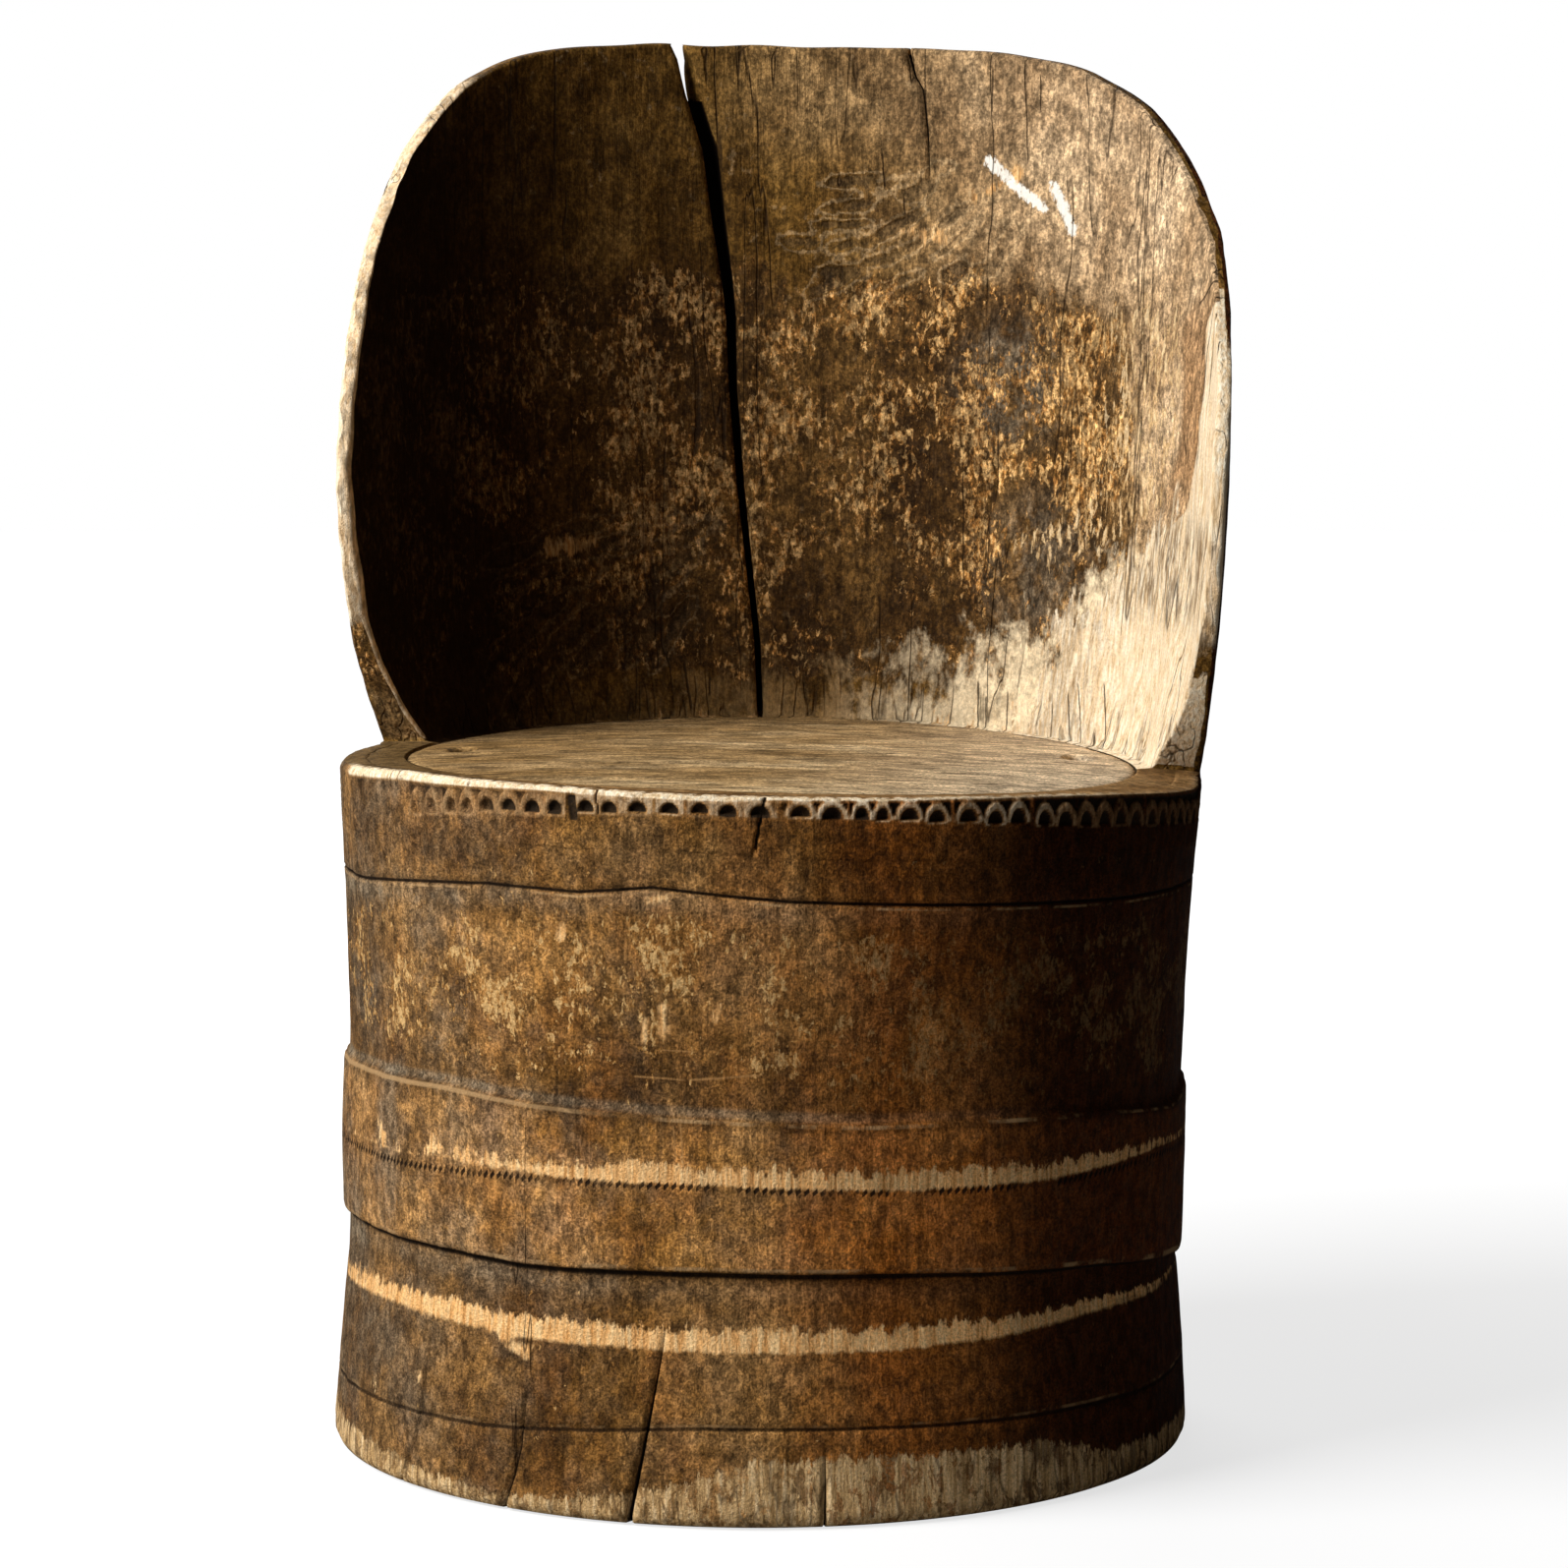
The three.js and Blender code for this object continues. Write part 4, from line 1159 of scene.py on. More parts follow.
class Value:
    """A number or colour that a node tree works out for each place. Sums with it add the nodes they need."""

    def __init__(self, finish, socket):
        self.finish = finish
        self.socket = socket

    def __add__(self, other):
        return self.finish.calc("ADD", self, other)

    def __sub__(self, other):
        return self.finish.calc("SUBTRACT", self, other)

    def __rsub__(self, other):
        return self.finish.calc("SUBTRACT", other, self)

    def __mul__(self, other):
        return self.finish.calc("MULTIPLY", self, other)

    def __truediv__(self, other):
        return self.finish.calc("DIVIDE", self, other)

    def __rtruediv__(self, other):
        return self.finish.calc("DIVIDE", other, self)

    def __abs__(self):
        return self.finish.calc("ABSOLUTE", self)

    __radd__ = __add__
    __rmul__ = __mul__

    def most(self, other):
        return self.finish.calc("MAXIMUM", self, other)

    def opposite(self):
        return self.finish.calc("SUBTRACT", 1.0, self, clamp=True)

    def span(self, low, high, start=0.0, end=1.0):
        """Runs softly from start to end as the value goes from low to high."""
        inputs = {"Value": self, "From Min": low, "From Max": high, "To Min": start, "To Max": end}
        return self.finish.add("MapRange", inputs, interpolation_type="SMOOTHSTEP")

    def between(self, low, high, soft):
        """A band between two values, with soft edges."""
        return self.span(low - soft, low + soft) * self.span(high + soft, high - soft)

    def near(self, middle, half):
        """A soft line at a value, of that half width."""
        return abs(self - middle).span(half, half * 0.35)

    def shades(self, stops):
        """A colour for each value, from (value, colour) stops."""
        made = self.finish.node("ValToRGB", {"Fac": self})
        ramp = made.color_ramp
        while len(ramp.elements) < len(stops):
            ramp.elements.new(0.5)
        for element, (place, colour) in zip(ramp.elements, stops):
            element.position = place
            element.color = (*colour, 1)
        return Value(self.finish, made.outputs["Color"])

    def mix(self, share, other):
        """This colour with a share of another one."""
        return self.finish.mix(share, self, other)

    def tint(self, value, low, high):
        """The colour made darker or lighter, from low to high times, as the value goes from 0 to 1."""
        level = value.span(0.0, 1.0, low, high)
        grey = self.finish.add("CombineColor", {"Red": level, "Green": level, "Blue": level})
        return self.finish.mix(1.0, self, grey, "MULTIPLY")


class Finish:
    """The node tree of a material or a shared effect, and the place that its textures are laid by."""

    def __init__(self, tree):
        self.tree = tree
        self.place = None

    def node(self, kind, inputs, **settings):
        made = self.tree.nodes.new("ShaderNode" + kind)
        for name, value in settings.items():
            setattr(made, name, value)
        for name, value in inputs.items():
            connect(self.tree, made.inputs[name], value)
        return made

    def add(self, kind, inputs, output=0, **settings):
        return Value(self, self.node(kind, inputs, **settings).outputs[output])

    def calc(self, operation, first, second=0.0, clamp=False):
        return self.add("Math", {0: first, 1: second}, operation=operation, use_clamp=clamp)

    def mix(self, share, first, second, mode="MIX"):
        return self.add("Mix", {0: share, 6: first, 7: second}, 2, data_type="RGBA", blend_type=mode)

    def field(self, name):
        return self.add("Attribute", {}, "Fac", attribute_name=name)

    def part(self, axis, place=None):
        return self.add("SeparateXYZ", {"Vector": place or self.place}, axis)

    def stretched(self, stretch):
        scales = self.add("CombineXYZ", {"X": 1.0, "Y": 1.0, "Z": 1.0 / stretch})
        return self.add("VectorMath", {0: self.place, 1: scales}, operation="MULTIPLY")

    def noise(self, size, detail=4.0, roughness=0.6, swirl=0.0, along=None):
        """Noise with spots of about the given size in millimetres."""
        return self.add("TexNoise", {
            "Vector": along or self.place, "Scale": 1000.0 / size, "Detail": detail, "Roughness": roughness,
            "Distortion": swirl,
        })

    def use(self, effect, **values):
        """What a shared effect puts out here: one value, or a list where it puts out more."""
        made = self.tree.nodes.new("ShaderNodeGroup")
        made.node_tree = effect
        for name, value in {"Place": self.place, **values}.items():
            connect(self.tree, made.inputs[name], value)
        results = [Value(self, socket) for socket in made.outputs]
        return results if len(results) > 1 else results[0]

    def give(self, **results):
        """Ends a shared effect with what it puts out."""
        for name in results:
            self.tree.interface.new_socket(name, in_out="OUTPUT", socket_type="NodeSocketFloat")
        out = self.tree.nodes.new("NodeGroupOutput").inputs
        for name, value in results.items():
            connect(self.tree, out[name], value)
        return self.tree


def shared_effect(name, **starts):
    """A new shared effect, laid by its Place, and what else comes into it."""
    tree = bpy.data.node_groups.new(name, "ShaderNodeTree")
    tree.interface.new_socket("Place", in_out="INPUT", socket_type="NodeSocketVector")
    for socket_name, start in starts.items():
        socket = tree.interface.new_socket(socket_name, in_out="INPUT", socket_type="NodeSocketFloat")
        socket.default_value = start
    finish = Finish(tree)
    entrance = tree.nodes.new("NodeGroupInput").outputs
    finish.place = Value(finish, entrance["Place"])
    return finish, [Value(finish, entrance[socket_name]) for socket_name in starts]


def wood_fibre():
    """Long fibres of the wood."""
    finish, (width, stretch) = shared_effect("wood_fibre", Width=2.0, Stretch=18.0)
    streaks = finish.noise(width, 6.0, 0.65, 0.25, finish.stretched(stretch))
    return finish.give(Streaks=streaks.span(0.25, 0.75))


def worn_flecks():
    """Ragged flecks where an old surface has come away, and how far each has gone."""
    finish, (size, stretch, cover) = shared_effect("worn_flecks", Size=8.0, Stretch=2.0, Cover=0.3)
    along = finish.stretched(stretch)
    over = finish.noise(size, 5.0, 0.66, 0.5, along) - (0.78 - cover * 0.5)
    tone = finish.noise(size * 1.7, 4.0, 0.7, 0.0, along) + over * 1.5
    return finish.give(Mask=over.span(-0.012, 0.03), Tone=tone.span(0.35, 0.75))


def ragged_edge():
    """Turns a distance into a worn-through mask whose edge is ragged along the fibres."""
    finish, (distance, reach, softness, stretch, size) = shared_effect(
        "ragged_edge", Distance=0.0, Reach=4.0, Softness=0.8, Stretch=3.0, Size=3.0)
    rough = finish.noise(size, 5.0, 0.7, 0.2, finish.stretched(stretch)) - 0.5
    moved = distance + rough * reach * 4.0
    return finish.give(Mask=(moved / softness).span(-1.0, 1.0))


def staining():
    """Broad uneven staining: how light and how warm each place is."""
    finish, (size, stretch) = shared_effect("staining", Size=60.0, Stretch=1.6)
    along = finish.stretched(stretch)
    shade = finish.noise(size, 7.0, 0.68, 0.3, along)
    moved = finish.add("VectorMath", {0: along, 1: (0.37, 0.21, 0.53)}, operation="ADD")
    warmth = finish.noise(size * 0.7, 4.0, 0.6, 0.0, moved)
    return finish.give(Shade=shade.span(0.3, 0.7), Warmth=warmth.span(0.42, 0.68))


def drying_checks():
    """Thin dark lines that open along the fibres as the wood dries."""
    finish, (size, stretch, width, cover) = shared_effect(
        "drying_checks", Size=9.0, Stretch=14.0, Width=0.02, Cover=0.5)
    along = finish.stretched(stretch)
    away = abs(finish.noise(size, 2.5, 0.5, 0.15, along) - 0.5)
    line = (away / width).opposite()
    patches = finish.noise(size * 1.9, 2.0, 0.5, 0.0, along)
    kept = (patches - (0.8 - cover * 0.5)).span(0.0, 0.04)
    return finish.give(Line=line * kept)


def fine_grit():
    """Fine dirt in the surface, down to the size of a grain of sand."""
    finish, (size,) = shared_effect("grit", Size=1.8)
    return finish.give(Grit=finish.noise(size, 3.0, 0.75, 0.0).span(0.3, 0.7))


FIBRE = wood_fibre()
FLECKS = worn_flecks()
RAGGED = ragged_edge()
STAINING = staining()
CHECKS = drying_checks()
GRIT = fine_grit()

# Wood colours, from the darkest of each kind to the palest
BARE_WOOD = [(0.0, (0.50, 0.22, 0.060)), (0.35, (0.84, 0.45, 0.165)), (1.0, (0.98, 0.68, 0.34))]
CREAM_WOOD = [(0.0, (0.48, 0.31, 0.15)), (0.35, (0.82, 0.61, 0.37)), (1.0, (0.97, 0.88, 0.69))]
TAN_WOOD = [(0.0, (0.24, 0.115, 0.042)), (0.5, (0.46, 0.26, 0.112)), (1.0, (0.70, 0.45, 0.22))]
GREY_WOOD = [(0.0, (0.24, 0.13, 0.045)), (0.45, (0.62, 0.39, 0.17)), (1.0, (0.90, 0.66, 0.37))]
RUST_FLECKS = [(0.0, (0.19, 0.075, 0.017)), (0.5, (0.40, 0.185, 0.048)), (1.0, (0.66, 0.40, 0.16))]
ORANGE_FLECKS = [(0.0, (0.20, 0.08, 0.018)), (0.5, (0.42, 0.20, 0.052)), (1.0, (0.70, 0.44, 0.18))]
OLD_PATINA = [
    (0.0, (0.062, 0.026, 0.006)), (0.4, (0.150, 0.068, 0.015)), (0.7, (0.250, 0.120, 0.031)),
    (1.0, (0.34, 0.178, 0.058)),
]
BACK_BROWN = [(0.0, (0.080, 0.038, 0.008)), (0.5, (0.145, 0.073, 0.015)), (1.0, (0.225, 0.122, 0.032))]
FADED_BROWN = [(0.0, (0.38, 0.24, 0.125)), (0.5, (0.61, 0.42, 0.245)), (1.0, (0.78, 0.57, 0.36))]
DARK_BROWN = [(0.0, (0.044, 0.020, 0.006)), (0.5, (0.094, 0.046, 0.013)), (1.0, (0.19, 0.098, 0.028))]
RIM_TONES = [(0.0, (0.16, 0.080, 0.025)), (0.5, (0.29, 0.155, 0.057)), (1.0, (0.43, 0.258, 0.108))]
SEAT_TONES = [(0.0, (0.26, 0.158, 0.064)), (0.5, (0.41, 0.268, 0.122)), (1.0, (0.57, 0.41, 0.22))]
HIDDEN_TONES = [(0.0, (0.22, 0.14, 0.07)), (0.5, (0.34, 0.23, 0.125)), (1.0, (0.46, 0.33, 0.20))]
HOLLOW_TONES = [(0.0, (0.10, 0.062, 0.032)), (0.5, (0.19, 0.125, 0.068)), (1.0, (0.30, 0.21, 0.125))]


def new_material(name):
    material = bpy.data.materials.new(name)
    material.use_nodes = True
    finish = Finish(material.node_tree)
    finish.place = finish.add("TexCoord", {}, "Object")
    return material, finish


def set_surface(finish, colour, roughness, height, depth):
    """Gives the shader its colour, roughness and bump; depth is what a height of 1 stands for, in metres."""
    shader = finish.tree.nodes["Principled BSDF"].inputs
    connect(finish.tree, shader["Base Color"], colour)
    connect(finish.tree, shader["Roughness"], roughness)
    bump = finish.add("Bump", {"Height": height, "Distance": depth, "Strength": 1.0}, "Normal")
    connect(finish.tree, shader["Normal"], bump)
    shader["Specular IOR Level"].default_value = WOOD_SHINE


def scratch(across, level, start, end, half):
    """A thin mark from one (degrees, level) to another, with half its width in millimetres."""
    run = Vector(((end[0] - start[0]) * MM_PER_DEGREE, end[1] - start[1]))
    along = run.normalized()
    right = (across - start[0]) * MM_PER_DEGREE
    up = level - start[1]
    beside = abs(right * along.y - up * along.x)
    forward = right * along.x + up * along.y
    return beside.span(half, half * 0.3) * forward.between(1.5, run.length - 1.5, 1.5)


def scratches(finish, level, marks):
    """All the thin marks of a list, wandering a little, as one mask."""
    across = finish.field("across") + finish.noise(12.0) * 0.5
    mask = scratch(across, level, *marks[0])
    for mark in marks[1:]:
        mask = mask.most(scratch(across, level, *mark))
    return mask


def tooth_nicks(finish, level):
    """The row of small nicks cut round the raised band, under its worn strip."""
    centred = finish.add("Mapping", {"Vector": finish.place, "Location": (-AXIS_X, -AXIS_Y, 0)})
    back = finish.part("Y", centred)
    angle = finish.calc("ARCTAN2", finish.part("X", centred), back)
    up = level - TOOTH_LEVEL
    steps = angle * (TOOTH_COUNT / (2 * math.pi)) + up * 0.1
    across = abs(finish.calc("FRACT", steps) - 0.5) * 2.6
    shape = across + abs(up * 0.36)
    cut = shape.span(1.0, 0.7) * finish.noise(30.0, 3.0).span(0.34, 0.5)
    return cut * back.span(0.06, -0.06)


def patina(finish, level):
    """The dusty, dark old surface that the trunk and its carved rim share: its colour, height, dust, grit and
    streaks."""
    streaks = finish.use(FIBRE, Width=2.6, Stretch=14.0)
    shade, warmth = finish.use(STAINING, Size=64.0, Stretch=1.5)
    grit = finish.use(GRIT, Size=1.5)
    mottle = finish.noise(6.5, 4.0, 0.72, along=finish.stretched(1.4)).span(0.32, 0.68)
    right = finish.part("X")
    colour = shade.shades(OLD_PATINA)
    colour = colour.mix(warmth * right.span(-0.2, 0.0, 0.2, 0.5), (0.30, 0.118, 0.030))

    slopes = level.between(219.5, 224.5, 1.6) * 0.5 + level.between(322, 333, 5) * 0.35
    slopes = slopes + level.between(120, 131, 6) * 0.3
    clouds = finish.noise(50.0, 6.0, 0.72).span(0.40, 0.66) * right.span(0.08, -0.2, 0.3, 0.8)
    clouds = clouds + right.span(-0.06, -0.2) * 0.34
    dust = (clouds * 0.9 + slopes) * 0.72
    colour = colour.mix(dust, finish.mix(slopes, (0.158, 0.116, 0.073), (0.24, 0.19, 0.125)))

    colour = colour.tint(right.span(-0.06, 0.05), 1.0, 1.14)
    # Towards the right (+X) the colour turns redder and then near black: painted shade on the side turned away
    # from the lamp.
    colour = colour.mix(right.span(0.03, 0.11, 0.0, 0.5), (0.33, 0.092, 0.010))
    colour = colour.mix(right.span(0.10, 0.19, 0.0, 0.92), (0.034, 0.0076, 0.0022))
    grime, _ = finish.use(FLECKS, Size=6.0, Stretch=1.4, Cover=0.52)
    colour = colour.mix(grime * 0.42, (0.030, 0.016, 0.008))
    colour = colour.tint(mottle, 0.62, 1.42).tint(streaks, 0.84, 1.16).tint(grit, 0.54, 1.48)

    band = level.between(136, 214, 3) * right.span(-0.16, -0.03, 0.5, 1.0)
    left_wall = level.between(240, 318, 8) * (right.span(-0.19, -0.13) * right.span(-0.01, -0.06))
    below_rim = level.between(340, 372, 4) * right.span(-0.08, -0.02)
    colour = colour.tint(band, 1.0, 1.85).tint(left_wall, 1.0, 1.25).tint(below_rim, 1.0, 0.78)
    height = streaks * 0.34 + grit * 0.3 + shade * 0.3 + mottle * 0.3
    return colour, height, dust, grit, streaks


def worn_through(finish, level, grit):
    """Where the patina is gone in flecks and scabs, and the flecks' colour."""
    wall = level.between(236, 320, 12)
    upper = level.between(340, 374, 8)
    patchy = finish.noise(34.0, 5.0, 0.7).span(0.34, 0.64)
    cover = 0.14 + wall * patchy * 0.42 + upper * patchy * 0.08 + patchy * 0.16
    flecks, tone = finish.use(FLECKS, Size=3.0, Stretch=1.7, Cover=cover)
    scabs, _ = finish.use(FLECKS, Size=8.5, Stretch=1.9, Cover=0.08 + wall * patchy * 0.14)
    gone = (flecks * 0.8).most(scabs * 0.75) * finish.part("X").span(-0.02, 0.16, 1.0, 0.22)
    return gone, tone.shades(ORANGE_FLECKS).tint(grit, 0.7, 1.25)


def bare_trunk(finish, level, grit, streaks):
    """Where the trunk is rubbed bare, how clean its wood is there, and its colour."""
    foot = level.span(70, 60)
    frayed = level.between(187, 205, 3) + level.between(101, 118, 3) + foot
    bare = finish.use(RAGGED, Distance=finish.field("bare"), Softness=1.3, Stretch=2.4, Size=5.0,
                      Reach=1.5 + frayed * 5.0)
    rings = finish.use(CHECKS, Size=16.0, Stretch=4.0, Width=0.035, Cover=1.0)
    foot_wood = streaks.shades(GREY_WOOD).mix(rings * 0.7, (0.085, 0.05, 0.024))
    pale = streaks.shades(BARE_WOOD).mix(level.span(74, 52), foot_wood).tint(grit, 0.72, 1.18)
    stained, _ = finish.use(FLECKS, Size=7.0, Stretch=1.8, Cover=foot.span(0, 1, 0.22, 0.5))
    return bare, stained.span(0.0, 1.0, 1.0, 0.35), pale


def rubbed_and_lit_lips(finish, level):
    """Where the upper edges of the carved bands are rubbed, with painted highlight where their arrises catch
    the light, most on the band's top edge towards the left.
    """
    rubbed = finish.noise(26.0, 4.0, 0.7).span(0.46, 0.62)
    lips = level.near(136.6, 1.6) + level.near(331.6, 1.0) + level.near(55.6, 1.2) * 0.6
    band_lip = level.near(217.4, 1.5) * rubbed.most(finish.part("X").span(-0.02, -0.13))
    return (lips * rubbed + band_lip) * 0.7


def outer_patina():
    """The trunk's outside: dark, dusty patina worn through to pale wood in strips, flecks and at the foot."""
    material, finish = new_material("log_patina")
    level = finish.field("level")
    colour, height, dust, grit, streaks = patina(finish, level)
    gone, fleck_colour = worn_through(finish, level, grit)
    bare, clean, pale = bare_trunk(finish, level, grit, streaks)
    colour = colour.mix(gone, fleck_colour).mix(bare * clean, pale)
    # Pale along the bands' upper edges: rubbed wear and painted highlight.
    colour = colour.mix(rubbed_and_lit_lips(finish, level), (0.45, 0.28, 0.13))
    colour = colour.mix(scratches(finish, level, SCRATCHES) * 0.6, (0.46, 0.24, 0.085))

    nicks = tooth_nicks(finish, level)
    # Near black along the undercut under the raised band (131.5 to 134.6 mm): painted shade under the band,
    # with grime. The same near black fills the cut lines at 54 and 334 mm and the row of nicks.
    grooves = level.between(131.5, 134.6, 1.0).most(level.near(54, 1.5) * 0.8)
    colour = colour.mix(level.near(334, 1.3).most(nicks).most(grooves) * 0.93, (0.010, 0.006, 0.004))
    behind = finish.part("Y").span(-0.02, 0.12)
    checks = finish.use(CHECKS, Size=15.0, Stretch=16.0, Width=behind.span(0.0, 1.0, 0.01, 0.022),
                        Cover=behind.span(0.0, 1.0, 0.3, 0.72))
    colour = colour.mix(checks * 0.75, (0.014, 0.008, 0.005))
    worn = finish.field("worn").span(0.0, 1.0, -6.0, 6.0)
    edge = finish.use(RAGGED, Distance=worn, Reach=1.6, Softness=2.0, Stretch=1.5, Size=3.0)
    colour = colour.mix(edge, streaks.shades(CREAM_WOOD))
    # The cracks' insides are painted near black: grime, and painted shade deep in them.
    colour = colour.mix(finish.field("crack").span(0.15, 0.6), (0.006, 0.004, 0.003))

    height = height + gone * -0.3 + nicks * -1.6 + checks * -1.0 + bare * -0.2
    rough = (dust * 0.6 + grit * 0.4).span(0.0, 1.0, 0.6, 0.92)
    set_surface(finish, colour, rough, height, 0.0012)
    return material


def mottled_brown(finish, level, shade, inward):
    """The back's brown, faded at its right, mottled dark below, and how mottled it is."""
    colour = shade.shades(BACK_BROWN).mix(finish.field("faded") * 0.8, shade.shades(FADED_BROWN))
    distance = finish.field("mottled").span(0.0, 1.0, -12.0, 12.0)
    broken = finish.use(RAGGED, Distance=distance, Reach=12.0, Softness=6.0, Stretch=1.8, Size=34.0)
    colour = colour.mix(broken * 0.86, shade.shades(DARK_BROWN))
    band = inward.span(-44, -30) * level.between(530, 645, 24)
    colour = colour.mix(band * 0.75, (0.29, 0.145, 0.055))
    blue = finish.field("blue") * finish.noise(14.0, 5.0, 0.7).span(0.36, 0.58)
    return colour.mix(blue * 0.55, (0.160, 0.138, 0.100)), broken


def flecked(finish, colour, level, broken):
    """The back's colour with its warm flecks and its grime, and the flecks' mask."""
    patchy = finish.noise(48.0, 4.0, 0.65).span(0.34, 0.62)
    cover = 0.06 + broken * patchy * 0.44 + broken * level.span(430, 520, 0.06, 0.2)
    flecks, tone = finish.use(FLECKS, Size=3.2, Stretch=1.9, Cover=cover)
    colour = colour.mix(flecks * (0.35 + broken * 0.5), tone.shades(RUST_FLECKS))
    grime, _ = finish.use(FLECKS, Size=6.0, Stretch=1.3, Cover=0.2 + broken * 0.34)
    return colour.mix(grime * 0.5, (0.034, 0.020, 0.010)), flecks


def gouged(finish, colour, broken):
    """The colour with its gouge strokes, dark inside and pale along their ridges, and the strokes' mask."""
    rough_mark = finish.field("feather") + (finish.noise(8.0) - 0.5) * 1.1
    smudge = rough_mark.span(0.42, 0.7)
    ridge = rough_mark.span(0.12, 0.26) * rough_mark.span(0.42, 0.3) * broken.span(0.0, 1.0, 0.34, 0.2)
    return colour.mix(smudge * 0.5, (0.062, 0.042, 0.022)).mix(ridge, (0.52, 0.36, 0.19)), smudge


def dusted(finish, colour, speckle, grit):
    """The colour under the pale dust that lies low on the back."""
    dusty = finish.field("dusty")
    edge = finish.use(RAGGED, Distance=finish.field("dust_depth"), Reach=46.0, Softness=16.0, Stretch=1.5,
                      Size=24.0)
    uneven = finish.noise(16.0, 5.0, 0.7).span(0.3, 0.6, 0.5, 1.0)
    dust = finish.mix(dusty.span(0.7, 1.0), (0.50, 0.305, 0.125), (0.94, 0.75, 0.48))
    return colour.mix(dusty * edge * uneven, dust.tint(speckle, 0.88, 1.08).tint(grit, 0.84, 1.12))


def bare_back(finish, colour, level, inward, grit, streaks):
    """The colour with the drips and bare wood at the right, and the marks left on that wood."""
    dripping = inward.span(-150, -100) * inward.span(-34, -46) * level.between(478, 650, 30)
    drips, tone = finish.use(FLECKS, Size=4.2, Stretch=3.2, Cover=dripping.span(0, 1, 0.0, 0.52))
    colour = colour.mix(drips * dripping * 0.8, tone.shades(GREY_WOOD).tint(grit, 0.75, 1.15))
    rubbed = finish.use(RAGGED, Distance=finish.field("bare"), Reach=10.0, Softness=2.0, Stretch=3.2,
                        Size=11.0)
    strip = finish.use(RAGGED, Distance=inward, Reach=3.4, Softness=1.4, Stretch=4.0, Size=8.0)
    rubbed = rubbed.most(strip)
    pale = streaks.shades(BARE_WOOD).mix(inward.span(-150, -60), streaks.shades(CREAM_WOOD))
    colour = colour.mix(rubbed * 0.94, pale.tint(grit, 0.86, 1.1))
    lines = finish.use(CHECKS, Size=9.0, Stretch=8.0, Width=0.05, Cover=1.0)
    clinging = finish.noise(7.0, 4.0, 0.7, along=finish.stretched(6.0)).span(0.46, 0.62)
    streaked = inward.span(-40.0, 4.0).span(0.9, 0.1).most(level.between(462, 520, 14))
    left = lines.most(clinging) * rubbed * streaked
    return colour.mix(left * level.span(430, 480, 0.4, 0.8), (0.12, 0.062, 0.022)), left


def back_wood():
    """The back's inner face: brown above, mottled dark below, with gouge marks, rubbed bare on the right."""
    material, finish = new_material("back_wood")
    level = finish.field("level")
    inward = finish.field("core")
    streaks = finish.use(FIBRE, Width=2.2, Stretch=13.0)
    shade, _ = finish.use(STAINING, Size=70.0, Stretch=1.3)
    grit = finish.use(GRIT, Size=1.9)
    mottle = finish.noise(8.0, 4.0, 0.68, along=finish.stretched(1.6)).span(0.32, 0.68)
    speckle = finish.noise(3.4, 3.0, 0.7, along=finish.stretched(1.5)).span(0.34, 0.66)

    colour, broken = mottled_brown(finish, level, shade, inward)
    colour, flecks = flecked(finish, colour, level, broken)
    colour, smudge = gouged(finish, colour, broken)
    colour = colour.tint(mottle, 0.66, 1.36).tint(speckle, 0.66, 1.4)
    colour = colour.tint(streaks, 0.8, 1.16).tint(grit, 0.64, 1.36)
    colour = dusted(finish, colour, speckle, grit)
    colour, left = bare_back(finish, colour, level, inward, grit, streaks)

    scar = finish.use(RAGGED, Distance=finish.field("scar"), Reach=2.6, Softness=0.8, Stretch=2.0, Size=2.6)
    colour = colour.mix(scar * 0.9, (0.95, 0.90, 0.80))
    low_checks = finish.use(CHECKS, Size=14.0, Stretch=12.0, Width=0.03, Cover=0.8) * level.span(418, 400)
    colour = colour.mix(low_checks * 0.5, (0.03, 0.018, 0.01))
    # Near black towards the back's left and low in its middle: soot and painted shade.
    colour = colour.mix(finish.field("soot_and_shade") * 0.86, (0.010, 0.004, 0.002))
    checks = finish.use(CHECKS, Size=20.0, Stretch=18.0, Width=0.012, Cover=0.62)
    checks = checks.most(scratches(finish, level, SMALL_CRACKS))
    colour = colour.mix(checks * 0.8, (0.02, 0.011, 0.006))

    worn = finish.field("worn").span(0.0, 1.0, -7.0, 7.0)
    edge = finish.use(RAGGED, Distance=worn, Reach=2.0, Softness=2.5, Stretch=2.0, Size=5.0)
    cream = streaks.shades(CREAM_WOOD)
    tan = finish.mix(0.45, cream, (0.56, 0.34, 0.16)).tint(mottle, 0.55, 1.2)
    colour = colour.mix(edge, tan.mix(inward.span(-20, 10), cream))
    # The cracks' insides are painted near black: grime, and painted shade deep in them.
    colour = colour.mix(finish.field("crack").span(0.12, 0.5), (0.005, 0.003, 0.002))

    height = streaks * 0.4 + grit * 0.22 + flecks * -0.2 + smudge * -0.5 + checks * -1.0
    height = height + low_checks * -1.2 + left * -0.4
    rough = (shade * 0.5 + grit * 0.5).span(0.0, 1.0, 0.5, 0.86)
    set_surface(finish, colour, rough, height, 0.0011)
    return material


